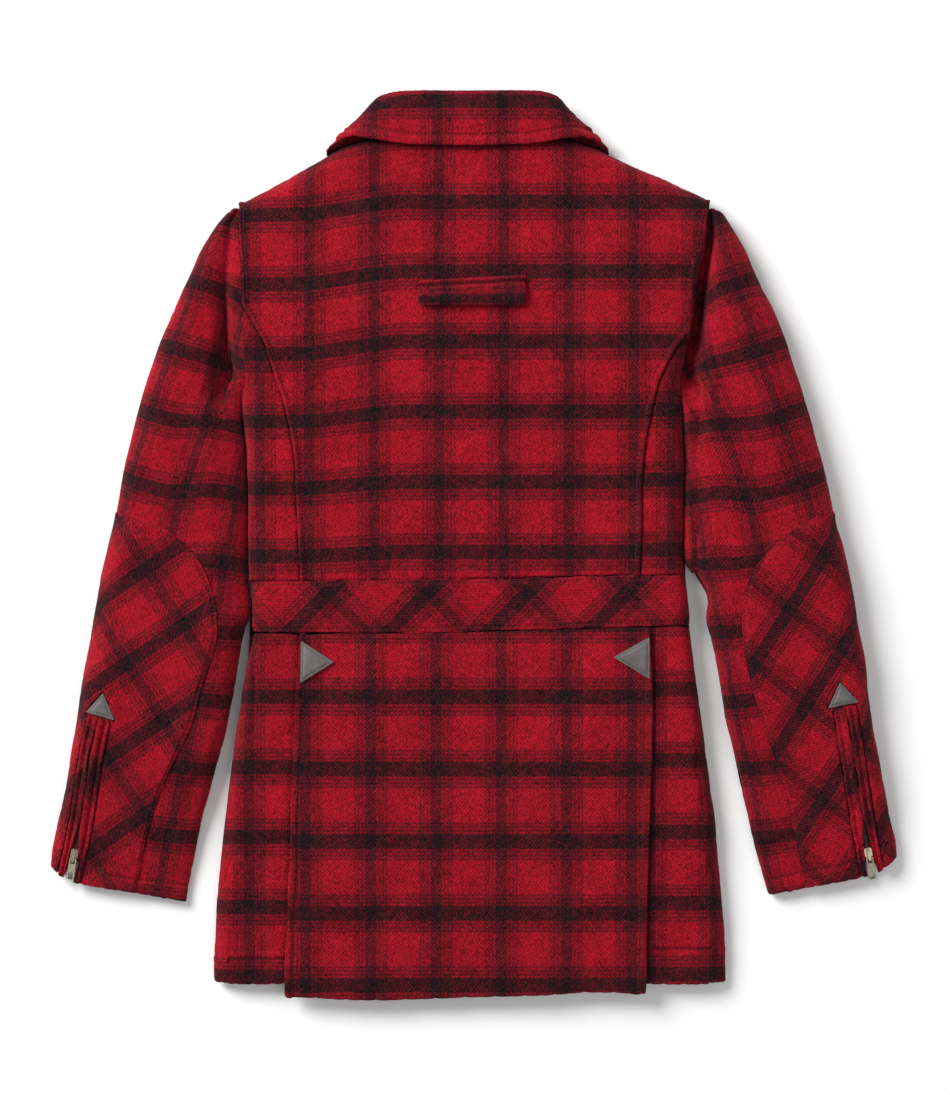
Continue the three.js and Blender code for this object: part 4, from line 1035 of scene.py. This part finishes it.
def stitch_mesh(rows, pitch, length):
    points, faces = [], []
    for name, line in rows:
        line = dense(line)
        travelled = travel(line)
        for middle in np.arange(pitch, travelled[-1] - pitch / 2, pitch):
            spine = []
            for share, lift, fat in STITCH_SHAPE:
                x, y = place_at(line, travelled, middle + share * length)
                z = surface_height(name, x, y)
                if z is None:
                    break
                spine.append(((x, y, z + lift), fat))
            if len(spine) < len(STITCH_SHAPE):
                continue
            ends = np.array([p for p, _ in spine])
            if np.ptp(ends[:, 2]) > STITCH_STEP:
                continue
            way = ends[-1] - ends[0]
            way /= np.linalg.norm(way)
            across = np.cross(way, (0, 0, 1))
            across /= np.linalg.norm(across)
            up = np.cross(across, way)
            start = len(points)
            for p, fat in spine:
                for k in range(THREAD_SIDES):
                    turn = 2 * math.pi * k / THREAD_SIDES
                    out = across * math.cos(turn) + up * math.sin(turn)
                    points.append(p + THREAD_THICK * fat * out)
            for ring in range(len(spine) - 1):
                for k in range(THREAD_SIDES):
                    a = start + ring * THREAD_SIDES + k
                    b = start + ring * THREAD_SIDES + (k + 1) % THREAD_SIDES
                    faces += [(a, b, b + THREAD_SIDES), (a, b + THREAD_SIDES, a + THREAD_SIDES)]
            last = start + (len(spine) - 1) * THREAD_SIDES
            for k in range(1, THREAD_SIDES - 1):
                faces.append((start, start + k + 1, start + k))
                faces.append((last, last + k, last + k + 1))
    return np.array(points), np.array(faces)


def sew(name, rows, material, pitch, length):
    points, faces = stitch_mesh(rows, pitch, length)
    settle(new_object(name, points, faces[:, ::-1], [material]))


cloth_rows = [row for row in STITCHES if "triangle" not in row[0]]
triangle_rows = [row for row in STITCHES if "triangle" in row[0]]
sew("stitching", cloth_rows, THREAD, **STITCH)
sew("triangle_stitching", triangle_rows, GREY_THREAD, **TRIANGLE_STITCH)

# Zip teeth on the chains

TOOTH = {"pitch": 2.2, "wide": 1.7, "long": 1.3, "tall": 1.0, "aside": 0.45}

# The share of the chain, from its top, that the welts hide and that has no teeth
TOOTHLESS = 0.6

# A tooth's corners, as shares of its width, length and half its height, and its sides
TOOTH_CORNERS = [
    (-0.5, -0.5, -0.6), (0.5, -0.5, -0.6), (0.5, 0.5, -0.6), (-0.5, 0.5, -0.6),
    (-0.36, -0.34, 1), (0.36, -0.34, 1), (0.36, 0.34, 1), (-0.36, 0.34, 1),
]
TOOTH_SIDES = [(0, 3, 2, 1), (4, 5, 6, 7), (0, 1, 5, 4), (1, 2, 6, 5), (2, 3, 7, 6), (3, 0, 4, 7)]


def zip_teeth(side):
    node = f"zip_chain_{side}"
    keep_surface(node, *node_mesh(node))
    line = dense(ZIP[side])
    travelled = travel(line)
    points, faces = [], []
    places = np.arange(travelled[-1] * TOOTHLESS, travelled[-1], TOOTH["pitch"] / 2)
    for number, at in enumerate(places):
        x, y = place_at(line, travelled, at)
        z = surface_height(node, x, y)
        if z is None:
            continue
        way = place_at(line, travelled, at + 1) - place_at(line, travelled, at - 1)
        way /= np.linalg.norm(way)
        across = np.array([-way[1], way[0]])
        middle = np.array([x, y]) + across * (TOOTH["aside"] if number % 2 else -TOOTH["aside"])
        start = len(points)
        for a, b, c in TOOTH_CORNERS:
            place = middle + across * a * TOOTH["wide"] + way * b * TOOTH["long"]
            points.append((*place, z + c * TOOTH["tall"] * 0.5))
        for a, b, c, d in TOOTH_SIDES:
            faces += [(start + a, start + b, start + c), (start + a, start + c, start + d)]
    item = new_object(f"zip_teeth_{side}", np.array(points), np.array(faces), [DARK_METAL])
    item.data.polygons.foreach_set("use_smooth", [False] * len(item.data.polygons))
    settle(item)


def dress(node, material):
    """Gives a CAD node that stays its material."""
    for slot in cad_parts[node].material_slots:
        slot.material = material


for side in SIDES:
    zip_teeth(side)
    dress(f"zip_slider_{side}", METAL)
    dress(f"zip_pull_{side}", METAL)
    dress(f"zip_chain_{side}", TAPE)

# Stage: a white table, soft light from the upper left, and the camera straight above

HALF_TABLE = 6
floor_mesh = bpy.data.meshes.new("table")
floor_mesh.from_pydata(
    [(x * HALF_TABLE, y * HALF_TABLE, 0) for x, y in ((-1, -1), (1, -1), (1, 1), (-1, 1))],
    [],
    [(0, 1, 2, 3)],
)
floor = bpy.data.objects.new("table", floor_mesh)
bpy.context.scene.collection.objects.link(floor)
paper = Nodes("table")
paper.to_shader("Base Color", (0.97, 0.97, 0.97, 1))
paper.to_shader("Roughness", 0.9)
floor_mesh.materials.append(paper.material)


def area_light(name, place, size, power):
    """A round soft light that shines at the middle of the coat."""
    data = bpy.data.lights.new(name, "AREA")
    data.shape = "DISK"
    data.size = size
    data.energy = power
    lamp = bpy.data.objects.new(name, data)
    lamp.location = place
    lamp.rotation_euler = (-Vector(place)).to_track_quat("-Z", "Y").to_euler()
    bpy.context.scene.collection.objects.link(lamp)


area_light("key", place=(-3.4, 2.8, 3.1), size=3.2, power=385)
area_light("fill", place=(1.4, -1.0, 2.6), size=2.4, power=15)
DAYLIGHT = 0.37
world = bpy.data.worlds.new("studio")
world.use_nodes = True
world.node_tree.nodes["Background"].inputs["Color"].default_value = (1, 1, 1, 1)
world.node_tree.nodes["Background"].inputs["Strength"].default_value = DAYLIGHT
bpy.context.scene.world = world
bpy.context.scene.view_settings.view_transform = "Standard"

# The photograph: a pixel in millimetres at the coat's height, its frame and the coat's middle in pixels
PIXEL = 0.93
PHOTO = {"width": 950, "height": 1095}
COAT_AT = (474, 547)
COAT_HEIGHT = 0.024
CAMERA_HEIGHT = 4.0
SENSOR = 36
camera_data = bpy.data.cameras.new("camera")
camera_data.sensor_fit = "VERTICAL"
camera_data.sensor_height = SENSOR
frame_height = PHOTO["height"] * PIXEL * MM
camera_data.lens = SENSOR * (CAMERA_HEIGHT - COAT_HEIGHT) / frame_height
camera = bpy.data.objects.new("camera", camera_data)
camera.location = (
    (PHOTO["width"] / 2 - COAT_AT[0]) * PIXEL * MM,
    -(PHOTO["height"] / 2 - COAT_AT[1]) * PIXEL * MM,
    CAMERA_HEIGHT,
)
bpy.context.scene.collection.objects.link(camera)
bpy.context.scene.camera = camera
